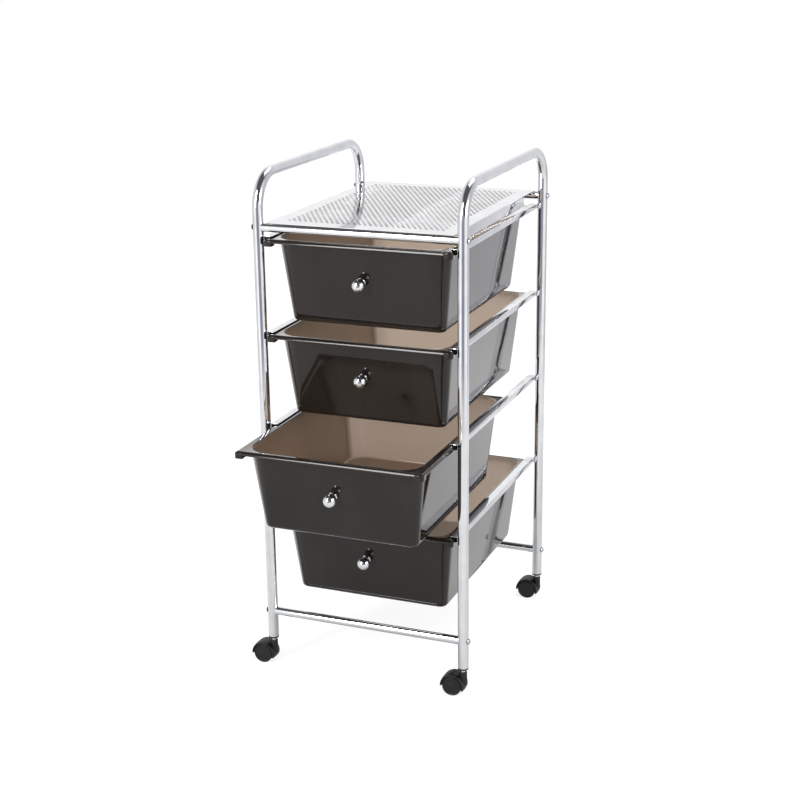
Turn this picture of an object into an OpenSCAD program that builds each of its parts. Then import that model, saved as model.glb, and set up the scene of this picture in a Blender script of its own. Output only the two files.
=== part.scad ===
// Utility cart: two bent side tubes joined by four cross bars, four tapered drawers hung in
// sheet metal runners, a perforated top shelf and four twin wheel casters.
// Millimetres, +Z up, the drawers open towards -Y.

/* [Frame] */
// Distance across the cart between the centre lines of the two side tubes
track_width = 314; // [280:1:380]
// Distance from a side tube's front leg to its rear leg, between centre lines
track_depth = 374; // [330:1:440]
// Outside diameter of the side tubes
tube_d = 16; // [14:0.5:20]
// Wall thickness of the side tubes
tube_wall = 1.2; // [0.8:0.1:1.6]
// Radius of the two handle bends, measured to the tube's centre line
bend_r = 50; // [36:1:60]
// Height of the handle's centre line above the top bars
handle_rise = 74.85; // [64:0.05:110]
// Outside diameter of the four cross bars
bar_d = 12.7; // [9:0.1:14]
// Height of the lower bars' centre line above the legs' lower ends
low_bar_rise = 43; // [40:0.5:60]
// Clear height between the highest runners and the top bars
top_clear = 6.3; // [5:0.1:20]
// Gap between two curved pieces of the frame that are seated on each other
seat_gap = 0.1; // [0.05:0.05:0.3]

/* [Frame screws] */
// Shank diameter of the screws that hold the bars
screw_d = 4; // [3:0.5:5]
// Head diameter of those screws
screw_head_d = 10; // [8:0.5:12]
// Height of their domed heads
screw_head_h = 3; // [2:0.5:4]
// How far a screw reaches into its bar
screw_grip = 14; // [8:1:25]
// Radial clearance of the screws in the tubes and bars
screw_clearance = 0.08; // [0.03:0.01:0.2]

/* [Shelf] */
// Thickness of the perforated sheet
shelf_t = 1; // [0.6:0.1:2]
// Gap from the shelf's side to the inner face of the legs
shelf_side_gap = 5.5; // [2:0.5:10]
// Height of the shelf's folded side walls
shelf_wall_h = 13.5; // [6:0.5:16]
// Distance from the cross bars' centre lines to the ends of the side walls
shelf_wall_setback = 55; // [30:1:90]
// How far the sheet reaches past the bars' centre lines
shelf_overhang = 2; // [0:0.5:4]
// Height of the folds that keep the shelf between the bars
shelf_fold_h = 6; // [3:0.5:9]
// Clearance between those folds and the bars
shelf_fold_gap = 0.3; // [0.1:0.1:1]
// Spacing of the holes along a row
hole_pitch = 17; // [12:0.5:24]
// Diameter of the holes
hole_d = 5; // [3:0.5:8]
// Plain border between the holes and the shelf's sides
hole_side_border = 24; // [14:1:50]
// Plain border between the holes and the bars' centre lines
hole_end_border = 20; // [16:1:60]

/* [Runners] */
// Sheet thickness of the runners
runner_t = 1; // [0.6:0.1:1.4]
// Width of the runners' upper and lower lips
runner_w = 12; // [10:0.5:14]
// Gap between a runner's back and the legs
runner_gap = 0.2; // [0.1:0.05:0.5]
// Rounding of the runners' outer edges
runner_edge_r = 1.8; // [1.2:0.1:3]
// Diameter of the weld beads between runners and legs
bead_d = 7; // [5:0.5:8]
// Height of the weld beads
bead_h = 5; // [3:0.5:7]
// Distance of a weld bead's centre from its leg's centre line, along the runner
bead_inset = 6; // [5:0.5:7]

/* [Drawers] */
// Depth of a drawer from its rim's top to the underside of its floor
drawer_depth = 127; // [90:1:180]
// Free height between a drawer's floor and the rim of the one below
drawer_gap = 15.2; // [6:0.2:30]
// Free height between the lower bars and the lowest drawer
low_drawer_gap = 28.65; // [6:0.05:60]
// Length of the rim from front to rear
rim_length = 383; // [340:1:384]
// Height of the rim's turned down edge
rim_h = 5.5; // [4:0.5:7]
// Thickness of the rim
rim_t = 2; // [1.5:0.1:3]
// Rounding of the rim's outer corners
rim_corner_r = 4; // [2:0.5:8]
// Width of the rim on the left and right
rim_side_w = 13.5; // [13:0.5:18]
// Width of the rim at the front
rim_front_w = 8; // [6:0.5:14]
// Width of the rim at the rear
rim_rear_w = 7; // [6:0.5:14]
// Wall thickness of the drawers
drawer_wall = 2; // [1.2:0.1:3]
// Thickness of the drawers' floors
drawer_floor = 2.2; // [1.5:0.1:4]
// How far each side wall draws in from the rim down to the floor
side_taper = 13.4; // [6:0.2:20]
// How far the front wall draws in from the rim down to the floor
front_taper = 30; // [10:0.5:40]
// How far the rear wall draws in from the rim down to the floor
rear_taper = 12.7; // [6:0.1:30]
// Rounding of the front corners at the rim, inside
front_corner_r = 31; // [15:1:45]
// Rounding of the front corners at the floor, inside
front_foot_r = 10; // [9:1:30]
// Rounding of the rear corners, inside
rear_corner_r = 28; // [15:1:45]
// Rounding of the edge round the floor
foot_r = 6; // [3:0.5:7]
// Sideways play of a rim in its runners, on each side
rim_side_play = 3.3; // [0.5:0.1:4]
// Play between a rim's top and its runners
rim_top_play = 1.4; // [0.3:0.1:3]
// Gap between a rim and the runner lip that it rests on
rim_rest_gap = 0.05; // [0.02:0.01:0.2]
// Width of the stop under each front corner of a rim
stop_w = 13; // [9:0.5:16]
// Depth of the stops from front to rear
stop_depth = 11.7; // [6:0.1:20]
// Height of the stops below the rim
stop_h = 5; // [3:0.5:8]
// Gap between the stops and the runners' front ends with the drawer shut
stop_gap = 0.3; // [0.1:0.1:1]
// How far the open drawer stands out
open_travel = 116; // [0:1:280]

/* [Knobs] */
// Diameter of the knobs' balls
knob_d = 20; // [14:0.5:24]
// Gap between the knobs' foot and their ball, measured on the axis
knob_neck = 0.4; // [0.2:0.1:8]
// Diameter of the neck that joins foot and ball
knob_neck_d = 8; // [7:0.5:11]
// Diameter of the knobs' foot on the drawer
knob_foot_d = 13; // [11:0.5:15]
// Thickness of that foot
knob_foot_t = 1; // [0.8:0.1:1.8]
// Height of the knobs below the rim's top
knob_drop = 56.5; // [40:0.5:80]
// Shank diameter of the knobs' screws
knob_screw_d = 4; // [3:0.5:5]
// Head diameter of the knobs' screws
knob_screw_head_d = 8; // [6.5:0.5:10]
// Head height of the knobs' screws
knob_screw_head_h = 2.4; // [1.5:0.1:3]
// How far a knob's screw reaches into its knob
knob_screw_grip = 9; // [6:0.5:12]
// Radial clearance of the knob screws in the knobs and drawers
knob_screw_clearance = 0.08; // [0.03:0.01:0.2]

/* [Casters] */
// Diameter of the wheels
wheel_d = 30; // [24:0.5:40]
// Width of one wheel
wheel_w = 9; // [6:0.5:12]
// Sideways gap between a wheel and the hood's web
wheel_gap = 0.4; // [0.3:0.1:1]
// Gap between the wheels' treads and the hood
hood_gap = 1; // [0.5:0.1:1.5]
// Wall of the hood over the wheels
hood_wall = 3; // [1.4:0.1:4]
// Thickness of the hood's web between the wheels
hood_web = 5; // [4:0.5:8]
// Distance from the swivel's centre line to the axle
caster_trail = 15; // [10:0.5:20]
// Diameter of the hood's boss round the stem
boss_d = 12; // [11:0.5:15]
// Gap between a hood's boss and the socket above it
boss_gap = 3; // [1:0.5:6]
// Height of the boss above the hood over the wheels
boss_rise = 5; // [3:0.1:10]
// How far the web reaches below the axle
web_drop = 8; // [5:0.5:12]
// Angle below the axle's level at which the hood's front edge ends
hood_front_angle = 18; // [0:1:30]
// Angle below the axle's level at which the hood's rear edge ends
hood_rear_angle = 4; // [0:1:20]
// Diameter of the axle
axle_d = 4; // [3:0.5:6]
// How far the axle enters each wheel
axle_reach = 7; // [4:0.5:10]
// Diameter of the swivel stem
stem_d = 8; // [6:0.5:9]
// How far the stem enters the hood
stem_low = 10; // [6:0.5:11]
// How far the stem enters the socket
stem_high = 24; // [12:1:35]
// Thickness of the socket's collar below the tube
collar_t = 2.5; // [1.5:0.1:4]
// Length of the socket inside the tube
socket_h = 28; // [15:1:35]
// Radial clearance between a turning piece and its pin
running_clearance = 0.05; // [0.02:0.01:0.1]
// Radial clearance between the socket and the tube
socket_clearance = 0.05; // [0.02:0.01:0.1]

/* [Hidden] */
$fn = 64;

// Fragments of the drawers' rounded corners
shell_fn = 32;
// Overshoot that lets a cut run clear through its piece
cut = 1;
// Thickness of the slices that the drawers' walls are stretched between
slice_t = 0.02;

// Half the distance between the side tubes and between their legs
half_w = track_width / 2;
half_d = track_depth / 2;

// Heights, from the floor up
wheel_r = wheel_d / 2;
hood_inner_r = wheel_r + hood_gap;
hood_outer_r = hood_inner_r + hood_wall;
boss_top_z = wheel_r + hood_outer_r + boss_rise;
collar_z = boss_top_z + boss_gap;
leg_z = collar_z + collar_t;
low_bar_z = leg_z + low_bar_rise;
floor_4_z = low_bar_z + bar_d / 2 + low_drawer_gap;
drawer_pitch = drawer_depth + drawer_gap;

// Underside, rim top and rim underside of drawer i, counted from the top
function floor_z(i) = floor_4_z + (4 - i) * drawer_pitch;
function rim_top_z(i) = floor_z(i) + drawer_depth;
function rim_low_z(i) = rim_top_z(i) - rim_h;

// Runners: outer faces
runner_x = half_w - tube_d / 2 - runner_gap;
function runner_low_z(i) = rim_low_z(i) - rim_rest_gap - runner_t;
function runner_top_z(i) = rim_top_z(i) + rim_top_play + runner_t;
runner_h = runner_top_z(1) - runner_low_z(1);

top_bar_z = runner_top_z(1) + top_clear + bar_d / 2;
handle_z = top_bar_z + handle_rise;

// Shelf
shelf_low_z = top_bar_z + bar_d / 2 + seat_gap;
shelf_half_w = half_w - tube_d / 2 - shelf_side_gap;
shelf_half_d = half_d + shelf_overhang;
shelf_wall_half = half_d - shelf_wall_setback;
fold_y = half_d - bar_d / 2 - shelf_fold_gap - shelf_t;
row_pitch = hole_pitch * sqrt(3) / 2;
field_half_w = shelf_half_w - hole_side_border - hole_d / 2;
field_half_d = half_d - hole_end_border - hole_d / 2;

// Drawers, in the shut position
rim_half_w = runner_x - runner_t - rim_side_play;
rim_front_y = -half_d - stop_gap - stop_depth;
rim_rear_y = rim_front_y + rim_length;
mouth_half_w = rim_half_w - rim_side_w;
mouth_front_y = rim_front_y + rim_front_w;
mouth_rear_y = rim_rear_y - rim_rear_w;
front_tilt = atan(front_taper / drawer_depth);

// How far drawer i stands out at rest
function pulled(i) = i == 3 ? open_travel : 0;

// Front wall's outer face, at the knob's height
knob_y = mouth_front_y - drawer_wall + front_taper * knob_drop / drawer_depth;
knob_ball_z = knob_foot_t + knob_neck + knob_d / 2;

// Casters
web_half = hood_web / 2;
wheel_near = web_half + wheel_gap;
wheel_far = wheel_near + wheel_w;
stem_low_z = boss_top_z - stem_low;

// The origin lies on the floor, in the middle of the box round the whole cart
x_low = -half_w - caster_trail - hood_outer_r;
x_high = half_w + tube_d / 2 + seat_gap + screw_head_h;
knob_front_y = knob_y - knob_ball_z * cos(front_tilt) - knob_d / 2;
y_low = min(rim_front_y, knob_front_y) - open_travel;
y_high = half_d + tube_d / 2;
origin_x = -(x_low + x_high) / 2;
origin_y = -(y_low + y_high) / 2;

// Colours, as the photograph shows them
chrome_colour = [0.80, 0.81, 0.84];
zinc_colour = [0.66, 0.67, 0.69];
smoke_colour = [0.27, 0.25, 0.24];
black_colour = [0.12, 0.12, 0.13];
tread_colour = [0.17, 0.17, 0.18];

// Moves a piece from the frame's middle to the origin of the whole cart
module in_place() {
    translate([origin_x, origin_y, 0]) children();
}

// Rounded rectangle between two corners given as low and high points
module plan(low, high, r) {
    x_span = high[0] - low[0];
    y_span = high[1] - low[1];
    translate(low) {
        translate([r, 0]) square([x_span - 2 * r, y_span]);
        translate([0, r]) square([x_span, y_span - 2 * r]);
        for (x = [r, x_span - r], y = [r, y_span - r])
            translate([x, y]) circle(r = r);
    }
}

// Solid that follows a side tube's centre line, for its outside and its bore
module tube_path(d, overshoot) {
    leg_h = handle_z - bend_r - leg_z;
    for (s = [-1, 1])
        translate([0, s * half_d, leg_z - overshoot]) cylinder(h = leg_h + overshoot, d = d);
    for (m = [0, 1]) mirror([0, m, 0])
        translate([0, half_d - bend_r, handle_z - bend_r])
            rotate([90, 0, 90]) rotate_extrude(angle = 90) translate([bend_r, 0]) circle(d = d);
    translate([0, -half_d + bend_r, handle_z]) rotate([-90, 0, 0])
        cylinder(h = track_depth - 2 * bend_r, d = d);
}

// Bent side tube with its screw holes; side is -1 for the left one and 1 for the right one
module side_tube(side) {
    color(chrome_colour) in_place() translate([side * half_w, 0, 0]) difference() {
        tube_path(tube_d, 0);
        tube_path(tube_d - 2 * tube_wall, cut);
        for (y = [-half_d, half_d], z = [low_bar_z, top_bar_z])
            translate([-tube_d, y, z]) rotate([0, 90, 0])
                cylinder(h = 2 * tube_d, d = screw_d + 2 * screw_clearance);
    }
}

// Cross bar, coped to the legs at both ends and drilled for its screws
module cross_bar(y, z) {
    color(chrome_colour) in_place() translate([0, y, 0]) difference() {
        translate([-half_w, 0, z]) rotate([0, 90, 0]) cylinder(h = track_width, d = bar_d);
        for (s = [-1, 1]) {
            translate([s * half_w, 0, z - bar_d])
                cylinder(h = 2 * bar_d, d = tube_d + 2 * seat_gap);
            translate([s * half_w, 0, z]) rotate([0, -s * 90, 0])
                cylinder(h = tube_d / 2 + screw_grip + cut, d = screw_d + 2 * screw_clearance);
        }
    }
}

// Domed screw along +X from the origin, which is the middle of its seat on a leg
module frame_screw() {
    dome_r = (screw_head_d * screw_head_d / 4 + screw_head_h * screw_head_h) / (2 * screw_head_h);
    rotate([0, 90, 0]) {
        intersection() {
            translate([0, 0, screw_head_h - dome_r]) sphere(r = dome_r);
            cylinder(h = screw_head_h, d = screw_head_d);
        }
        translate([0, 0, -tube_d - seat_gap - screw_grip])
            cylinder(h = tube_d + seat_gap + screw_grip + screw_head_h / 2, d = screw_d);
    }
}

module frame_screws() {
    seat_x = half_w + tube_d / 2 + seat_gap;
    color(zinc_colour) in_place()
        for (m = [0, 1]) mirror([m, 0, 0])
            for (y = [-half_d, half_d], z = [low_bar_z, top_bar_z])
                translate([seat_x, y, z]) frame_screw();
}

// Holes of the shelf, in rows staggered by half a pitch
module hole_field() {
    rows = floor(field_half_d / row_pitch);
    for (j = [-rows : rows]) {
        shift = (j % 2 == 0) ? 0 : hole_pitch / 2;
        columns = floor((field_half_w - shift) / hole_pitch);
        low = (j % 2 == 0) ? -columns : -columns - 1;
        for (i = [low : columns])
            translate([i * hole_pitch + shift, j * row_pitch]) circle(d = hole_d, $fn = 24);
    }
}

// Sheet that rests on the top bars, with folded side walls and two locating folds
module top_shelf() {
    color(chrome_colour) in_place() translate([0, 0, shelf_low_z]) {
        linear_extrude(shelf_t) difference() {
            translate([-shelf_half_w, -shelf_half_d]) square([2 * shelf_half_w, 2 * shelf_half_d]);
            hole_field();
        }
        for (m = [0, 1]) {
            mirror([m, 0, 0]) translate([shelf_half_w - shelf_t, -shelf_wall_half, -shelf_wall_h])
                cube([shelf_t, 2 * shelf_wall_half, shelf_wall_h + shelf_t / 2]);
            mirror([0, m, 0]) translate([-shelf_half_w, fold_y, -shelf_fold_h])
                cube([2 * shelf_half_w, shelf_t, shelf_fold_h + shelf_t / 2]);
        }
    }
}

// Section of the right runner, open towards the drawer; x runs outwards, y runs upwards
module runner_section() {
    inner_r = max(runner_edge_r - runner_t, 0.2);
    difference() {
        runner_blank(runner_w, runner_h, runner_edge_r);
        translate([-cut, runner_t])
            runner_blank(runner_w - runner_t + cut, runner_h - 2 * runner_t, inner_r);
    }
}

// Rectangle whose two right corners are rounded
module runner_blank(w, h, r) {
    square([w - r, h]);
    translate([0, r]) square([w, h - 2 * r]);
    for (y = [r, h - r]) translate([w - r, y]) circle(r = r, $fn = 24);
}

// Runner of drawer i, welded to its front and rear leg
module runner(side, i) {
    color(chrome_colour) in_place() mirror([side < 0 ? 1 : 0, 0, 0])
        translate([0, 0, runner_low_z(i)]) {
            translate([runner_x - runner_w, half_d, 0]) rotate([90, 0, 0])
                linear_extrude(track_depth) runner_section();
            difference() {
                for (s = [-1, 1])
                    translate([runner_x, s * (half_d - bead_inset), (runner_h - bead_h) / 2])
                        cylinder(h = bead_h, d = bead_d);
                translate([runner_x - runner_w, -half_d, -cut])
                    cube([runner_w - runner_t / 2, track_depth, runner_h + 2 * cut]);
                for (s = [-1, 1])
                    translate([half_w, s * half_d, -cut])
                        cylinder(h = runner_h + 2 * cut, d = tube_d + 2 * seat_gap);
            }
        }
}

// Corner discs of a drawer's wall at one depth: grow is the distance outside the inner face,
// down is the depth below the rim's top and step is the extra inset of the rounded foot
module wall_discs(grow, down, step) {
    share = down / drawer_depth;
    front_r = front_corner_r + (front_foot_r - front_corner_r) * share + grow - step;
    rear_r = rear_corner_r + grow - step;
    side_x = mouth_half_w + grow - side_taper * share - step;
    front_y = mouth_front_y - grow + front_taper * share + step;
    rear_y = mouth_rear_y + grow - rear_taper * share - step;
    for (s = [-1, 1]) {
        translate([s * (side_x - front_r), front_y + front_r, -down])
            cylinder(h = slice_t, r = front_r, $fn = shell_fn);
        translate([s * (side_x - rear_r), rear_y - rear_r, -down])
            cylinder(h = slice_t, r = rear_r, $fn = shell_fn);
    }
}

// Tapered body with a rounded foot, from the depth top down to the depth low
module drawer_body(grow, top, low) {
    r = foot_r - drawer_wall + grow;
    hull() {
        wall_discs(grow, top, 0);
        wall_discs(grow, low - r, 0);
        for (a = [30, 60, 90])
            wall_discs(grow, low - r * (1 - sin(a)), r * (1 - cos(a)));
    }
}

// Drawer i with its rim, its two front stops and the hole for its knob
module drawer(i) {
    low = [-rim_half_w, rim_front_y];
    high = [rim_half_w, rim_rear_y];
    color(smoke_colour) in_place() translate([0, -pulled(i), rim_top_z(i)]) difference() {
        union() {
            drawer_body(drawer_wall, rim_t / 2, drawer_depth);
            translate([0, 0, -rim_t]) linear_extrude(rim_t) plan(low, high, rim_corner_r);
            translate([0, 0, -rim_h]) linear_extrude(rim_h) difference() {
                plan(low, high, rim_corner_r);
                plan(low + [rim_t, rim_t], high - [rim_t, rim_t], rim_corner_r - rim_t / 2);
            }
            for (m = [0, 1]) mirror([m, 0, 0])
                translate([rim_half_w - stop_w, rim_front_y, -rim_h - stop_h])
                    stop_block();
        }
        drawer_body(0, -cut, drawer_depth - drawer_floor);
        translate([0, knob_y, -knob_drop]) rotate([90 + front_tilt, 0, 0])
            translate([0, 0, -3 * drawer_wall])
                cylinder(h = 6 * drawer_wall, d = knob_screw_d + 2 * knob_screw_clearance);
    }
}

// Stop under a rim's front corner, with a rounded outer corner that follows the rim
module stop_block() {
    linear_extrude(stop_h + rim_h - rim_t / 2) {
        square([stop_w - rim_corner_r, stop_depth]);
        translate([0, rim_corner_r]) square([stop_w, stop_depth - rim_corner_r]);
        translate([stop_w - rim_corner_r, rim_corner_r]) circle(r = rim_corner_r, $fn = shell_fn);
    }
}

// Places a knob's piece on the front wall of drawer i, with +Z along the knob's axis
module on_front(i) {
    in_place() translate([0, knob_y - pulled(i), rim_top_z(i) - knob_drop])
        rotate([90 + front_tilt, 0, 0]) children();
}

module knob(i) {
    color(chrome_colour) on_front(i) difference() {
        union() {
            cylinder(h = knob_foot_t, d = knob_foot_d);
            cylinder(h = knob_ball_z, d = knob_neck_d);
            translate([0, 0, knob_ball_z]) sphere(d = knob_d);
        }
        translate([0, 0, -cut])
            cylinder(h = knob_screw_grip + 2 * cut, d = knob_screw_d + 2 * knob_screw_clearance);
    }
}

module knob_screw(i) {
    inner_face = -drawer_wall * cos(front_tilt);
    color(zinc_colour) on_front(i) {
        translate([0, 0, inner_face - knob_screw_head_h])
            cylinder(h = knob_screw_head_h, d = knob_screw_head_d);
        translate([0, 0, inner_face - knob_screw_head_h / 2])
            cylinder(h = knob_screw_head_h / 2 - inner_face + knob_screw_grip, d = knob_screw_d);
    }
}

// Places a caster's piece under a leg; side and end are -1 or 1
module under_leg(side, end) {
    in_place() translate([side * half_w, end * half_d, 0]) children();
}

// Plug in the leg's lower end, with its collar and the stem's bore
module socket(side, end) {
    color(black_colour) under_leg(side, end) difference() {
        union() {
            translate([0, 0, collar_z]) cylinder(h = collar_t, d = tube_d);
            translate([0, 0, collar_z + collar_t / 2])
                cylinder(h = socket_h + collar_t / 2, d = tube_d - 2 * tube_wall - 2 * socket_clearance);
        }
        translate([0, 0, collar_z - cut])
            cylinder(h = stem_high + 2 * cut, d = stem_d + 2 * running_clearance);
    }
}

module stem(side, end) {
    color(zinc_colour) under_leg(side, end)
        translate([0, 0, stem_low_z]) cylinder(h = stem_low + boss_gap + stem_high, d = stem_d);
}

// Hood: a web between the wheels, a wall over their treads and a boss round the stem
module hood(side, end) {
    color(black_colour) under_leg(side, end) difference() {
        union() {
            translate([-caster_trail, 0, wheel_r]) rotate([90, 0, 0])
                cylinder(h = 2 * wheel_far, r = hood_outer_r, center = true);
            translate([0, 0, wheel_r])
                cylinder(h = hood_outer_r + boss_rise, d = boss_d);
        }
        translate([-caster_trail, 0, wheel_r]) wheel_space();
        translate([0, 0, stem_low_z])
            cylinder(h = stem_low + cut, d = stem_d + 2 * running_clearance);
        translate([-caster_trail, 0, wheel_r]) rotate([90, 0, 0])
            cylinder(h = 4 * wheel_far, d = axle_d + 2 * running_clearance, center = true);
    }
}

// Room for the two wheels and the open lower part below the hood's edges
module wheel_space() {
    for (m = [0, 1]) mirror([0, m, 0]) {
        translate([0, -web_half, 0]) rotate([90, 0, 0])
            cylinder(h = wheel_w + wheel_gap + cut, r = hood_inner_r);
        translate([0, -web_half, 0]) rotate([90, 0, 0])
            linear_extrude(wheel_w + wheel_gap + cut) polygon([
                [0, 0],
                2 * hood_outer_r * [cos(hood_front_angle), -sin(hood_front_angle)],
                [2 * hood_outer_r, -3 * hood_outer_r],
                [-2 * hood_outer_r, -3 * hood_outer_r],
                2 * hood_outer_r * [-cos(hood_rear_angle), -sin(hood_rear_angle)],
            ]);
    }
    // The web ends well above the floor
    translate([-2 * hood_outer_r, -wheel_far, -web_drop - 2 * hood_outer_r])
        cube([4 * hood_outer_r, 2 * wheel_far, 2 * hood_outer_r]);
}

module axle(side, end) {
    color(zinc_colour) under_leg(side, end)
        translate([-caster_trail, 0, wheel_r]) rotate([90, 0, 0])
            cylinder(h = 2 * (wheel_near + axle_reach), d = axle_d, center = true);
}

// Wheel with a rounded tread and a shallow face; face is -1 for the near one and 1 for the far one
module wheel(side, end, face) {
    color(tread_colour) under_leg(side, end)
        translate([-caster_trail, 0, wheel_r]) rotate([-face * 90, 0, 0])
            translate([0, 0, wheel_near]) difference() {
                rotate_extrude() wheel_section();
                translate([0, 0, -cut])
                    cylinder(h = axle_reach + cut + wheel_gap, d = axle_d + 2 * running_clearance);
            }
}

// Half section of a wheel: radius along x, width along y
module wheel_section() {
    edge = wheel_w / 6;
    dish = wheel_w / 9;
    polygon([
        [0, 0],
        [wheel_r - edge, 0],
        [wheel_r, edge],
        [wheel_r, wheel_w - edge],
        [wheel_r - edge, wheel_w],
        [wheel_r - 2 * edge, wheel_w],
        [wheel_r - 3 * edge, wheel_w - dish],
        [0, wheel_w - dish],
    ]);
}

side_tube(-1);  // left_side_tube
side_tube(1);  // right_side_tube
cross_bar(-half_d, top_bar_z);  // top_front_bar
cross_bar(half_d, top_bar_z);  // top_rear_bar
cross_bar(-half_d, low_bar_z);  // bottom_front_bar
cross_bar(half_d, low_bar_z);  // bottom_rear_bar
frame_screws();
top_shelf();
runner(-1, 1);  // left_runner_1
runner(-1, 2);  // left_runner_2
runner(-1, 3);  // left_runner_3
runner(-1, 4);  // left_runner_4
runner(1, 1);  // right_runner_1
runner(1, 2);  // right_runner_2
runner(1, 3);  // right_runner_3
runner(1, 4);  // right_runner_4
drawer(1);  // drawer_1
drawer(2);  // drawer_2
drawer(3);  // drawer_3
drawer(4);  // drawer_4
knob(1);  // knob_1
knob(2);  // knob_2
knob(3);  // knob_3
knob(4);  // knob_4
knob_screw(1);  // knob_screw_1
knob_screw(2);  // knob_screw_2
knob_screw(3);  // knob_screw_3
knob_screw(4);  // knob_screw_4
socket(-1, -1);  // socket_front_left
socket(1, -1);  // socket_front_right
socket(-1, 1);  // socket_rear_left
socket(1, 1);  // socket_rear_right
stem(-1, -1);  // stem_front_left
stem(1, -1);  // stem_front_right
stem(-1, 1);  // stem_rear_left
stem(1, 1);  // stem_rear_right
hood(-1, -1);  // hood_front_left
hood(1, -1);  // hood_front_right
hood(-1, 1);  // hood_rear_left
hood(1, 1);  // hood_rear_right
axle(-1, -1);  // axle_front_left
axle(1, -1);  // axle_front_right
axle(-1, 1);  // axle_rear_left
axle(1, 1);  // axle_rear_right
wheel(-1, -1, -1);  // near_wheel_front_left
wheel(1, -1, -1);  // near_wheel_front_right
wheel(-1, 1, -1);  // near_wheel_rear_left
wheel(1, 1, -1);  // near_wheel_rear_right
wheel(-1, -1, 1);  // far_wheel_front_left
wheel(1, -1, 1);  // far_wheel_front_right
wheel(-1, 1, 1);  // far_wheel_rear_left
wheel(1, 1, 1);  // far_wheel_rear_right
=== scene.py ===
"""Looks of a chromed cart with smoked plastic drawers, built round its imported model.

Pieces and finishes hold their lengths in millimetres, the studio holds its own in metres.
Meshes are in metres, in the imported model's frame.
"""

import logging
import math
from collections.abc import Callable, Iterable, Sequence
from dataclasses import dataclass
from enum import Enum

import bmesh
import bpy
from mathutils import Matrix, Vector


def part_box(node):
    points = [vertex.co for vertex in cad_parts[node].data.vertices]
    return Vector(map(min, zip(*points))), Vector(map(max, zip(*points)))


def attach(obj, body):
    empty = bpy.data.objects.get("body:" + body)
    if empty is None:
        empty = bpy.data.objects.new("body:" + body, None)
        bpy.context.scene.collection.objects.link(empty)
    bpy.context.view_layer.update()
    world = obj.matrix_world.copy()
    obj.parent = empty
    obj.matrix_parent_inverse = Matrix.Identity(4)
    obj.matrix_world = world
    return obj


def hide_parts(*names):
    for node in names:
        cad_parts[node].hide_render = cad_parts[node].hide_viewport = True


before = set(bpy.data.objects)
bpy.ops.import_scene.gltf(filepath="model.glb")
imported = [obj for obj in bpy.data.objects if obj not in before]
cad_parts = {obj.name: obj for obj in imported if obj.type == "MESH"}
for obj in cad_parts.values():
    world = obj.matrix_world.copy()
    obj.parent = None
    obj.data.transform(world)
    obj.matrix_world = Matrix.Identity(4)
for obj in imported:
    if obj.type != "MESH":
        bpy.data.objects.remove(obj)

LOG = logging.getLogger("cart")
MM = 0.001
# Points closer than this are one
WELD_REACH = 0.002 * MM
# Edges are drawn hard, or are rounded, from these angles on
SHARP_ANGLE = math.radians(38)
BEVEL_ANGLE = math.radians(40)
# Drawers and runners are numbered from the top
NUMBERS = range(1, 5)

Material = bpy.types.Material
Mesh = bpy.types.Mesh
Nodes = bpy.types.NodeTree
Socket = bpy.types.NodeSocket
Looks = dict[str, Material]
Pair = tuple[float, float]
Triple = tuple[float, float, float]
Box = tuple[Vector, Vector, Vector]


class Word(Enum):
    """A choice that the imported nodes' names spell in lower case."""

    @property
    def word(self) -> str:
        """The choice as those names spell it."""
        return self.name.lower()


class Side(Word):
    """Left or right of the cart, seen from its front."""

    LEFT = -1
    RIGHT = 1


class End(Word):
    """Front or rear of the cart."""

    FRONT = -1
    REAR = 1


class Face(Word):
    """Which wheel of a caster's pair: the one nearer to the front, or the other."""

    NEAR = -1
    FAR = 1


class Slot(Enum):
    """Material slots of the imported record."""

    TUBE = "chromed_tube"
    SHEET = "chromed_sheet"
    KNOB = "chromed_knob"
    SCREW = "zinc_screw"
    SMOKE = "smoked_plastic"
    BLACK = "black_plastic"
    TREAD = "black_tread"


# ---------------------------------------------------------------- nodes


def linear(colour: str) -> tuple[float, float, float, float]:
    """Turns an sRGB hex value into linear light.

    Args:
        colour: Six hex digits after a hash.

    Returns:
        Red, green, blue and an alpha of 1.
    """
    parts = [int(colour[i : i + 2], 16) / 255 for i in (1, 3, 5)]
    light = [p / 12.92 if p <= 0.04045 else ((p + 0.055) / 1.055) ** 2.4 for p in parts]
    return light[0], light[1], light[2], 1.0


def grey(level: float) -> tuple[float, float, float, float]:
    """Gives a grey of a linear level."""
    return level, level, level, 1.0


def feed(tree: Nodes, node: bpy.types.Node, inputs: dict) -> None:
    """Sets a node's inputs.

    Args:
        tree: The node's tree.
        node: The node.
        inputs: Maps an input's name or number to a value, or to the socket that feeds it.
    """
    for key, value in inputs.items():
        if isinstance(value, Socket):
            tree.links.new(value, node.inputs[key])
        else:
            node.inputs[key].default_value = value


def add_node(
    tree: Nodes, kind: str, inputs: dict | None = None, **settings: object
) -> bpy.types.Node:
    """Adds a node with its settings, values and links.

    Args:
        tree: The tree that the node goes into.
        kind: The node's type name.
        inputs: Its inputs, as feed takes them.
        **settings: Properties of the node itself.

    Returns:
        The new node.
    """
    made = tree.nodes.new(kind)
    for key, value in settings.items():
        setattr(made, key, value)
    feed(tree, made, inputs or {})
    return made


def ranged(
    tree: Nodes, value: Socket, source: Pair, target: Pair = (0.0, 1.0), smooth: bool = False
) -> Socket:
    """Maps a value from one range onto another, clamped.

    Args:
        tree: The tree that the node goes into.
        value: The value.
        source: The range that it has.
        target: The range that it gets.
        smooth: Whether it eases in and out.

    Returns:
        The mapped value.
    """
    inputs = {"Value": value, "From Min": source[0], "From Max": source[1]}
    inputs |= {"To Min": target[0], "To Max": target[1]}
    kind = "SMOOTHSTEP" if smooth else "LINEAR"
    return add_node(tree, "ShaderNodeMapRange", inputs, interpolation_type=kind).outputs[0]


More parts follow.
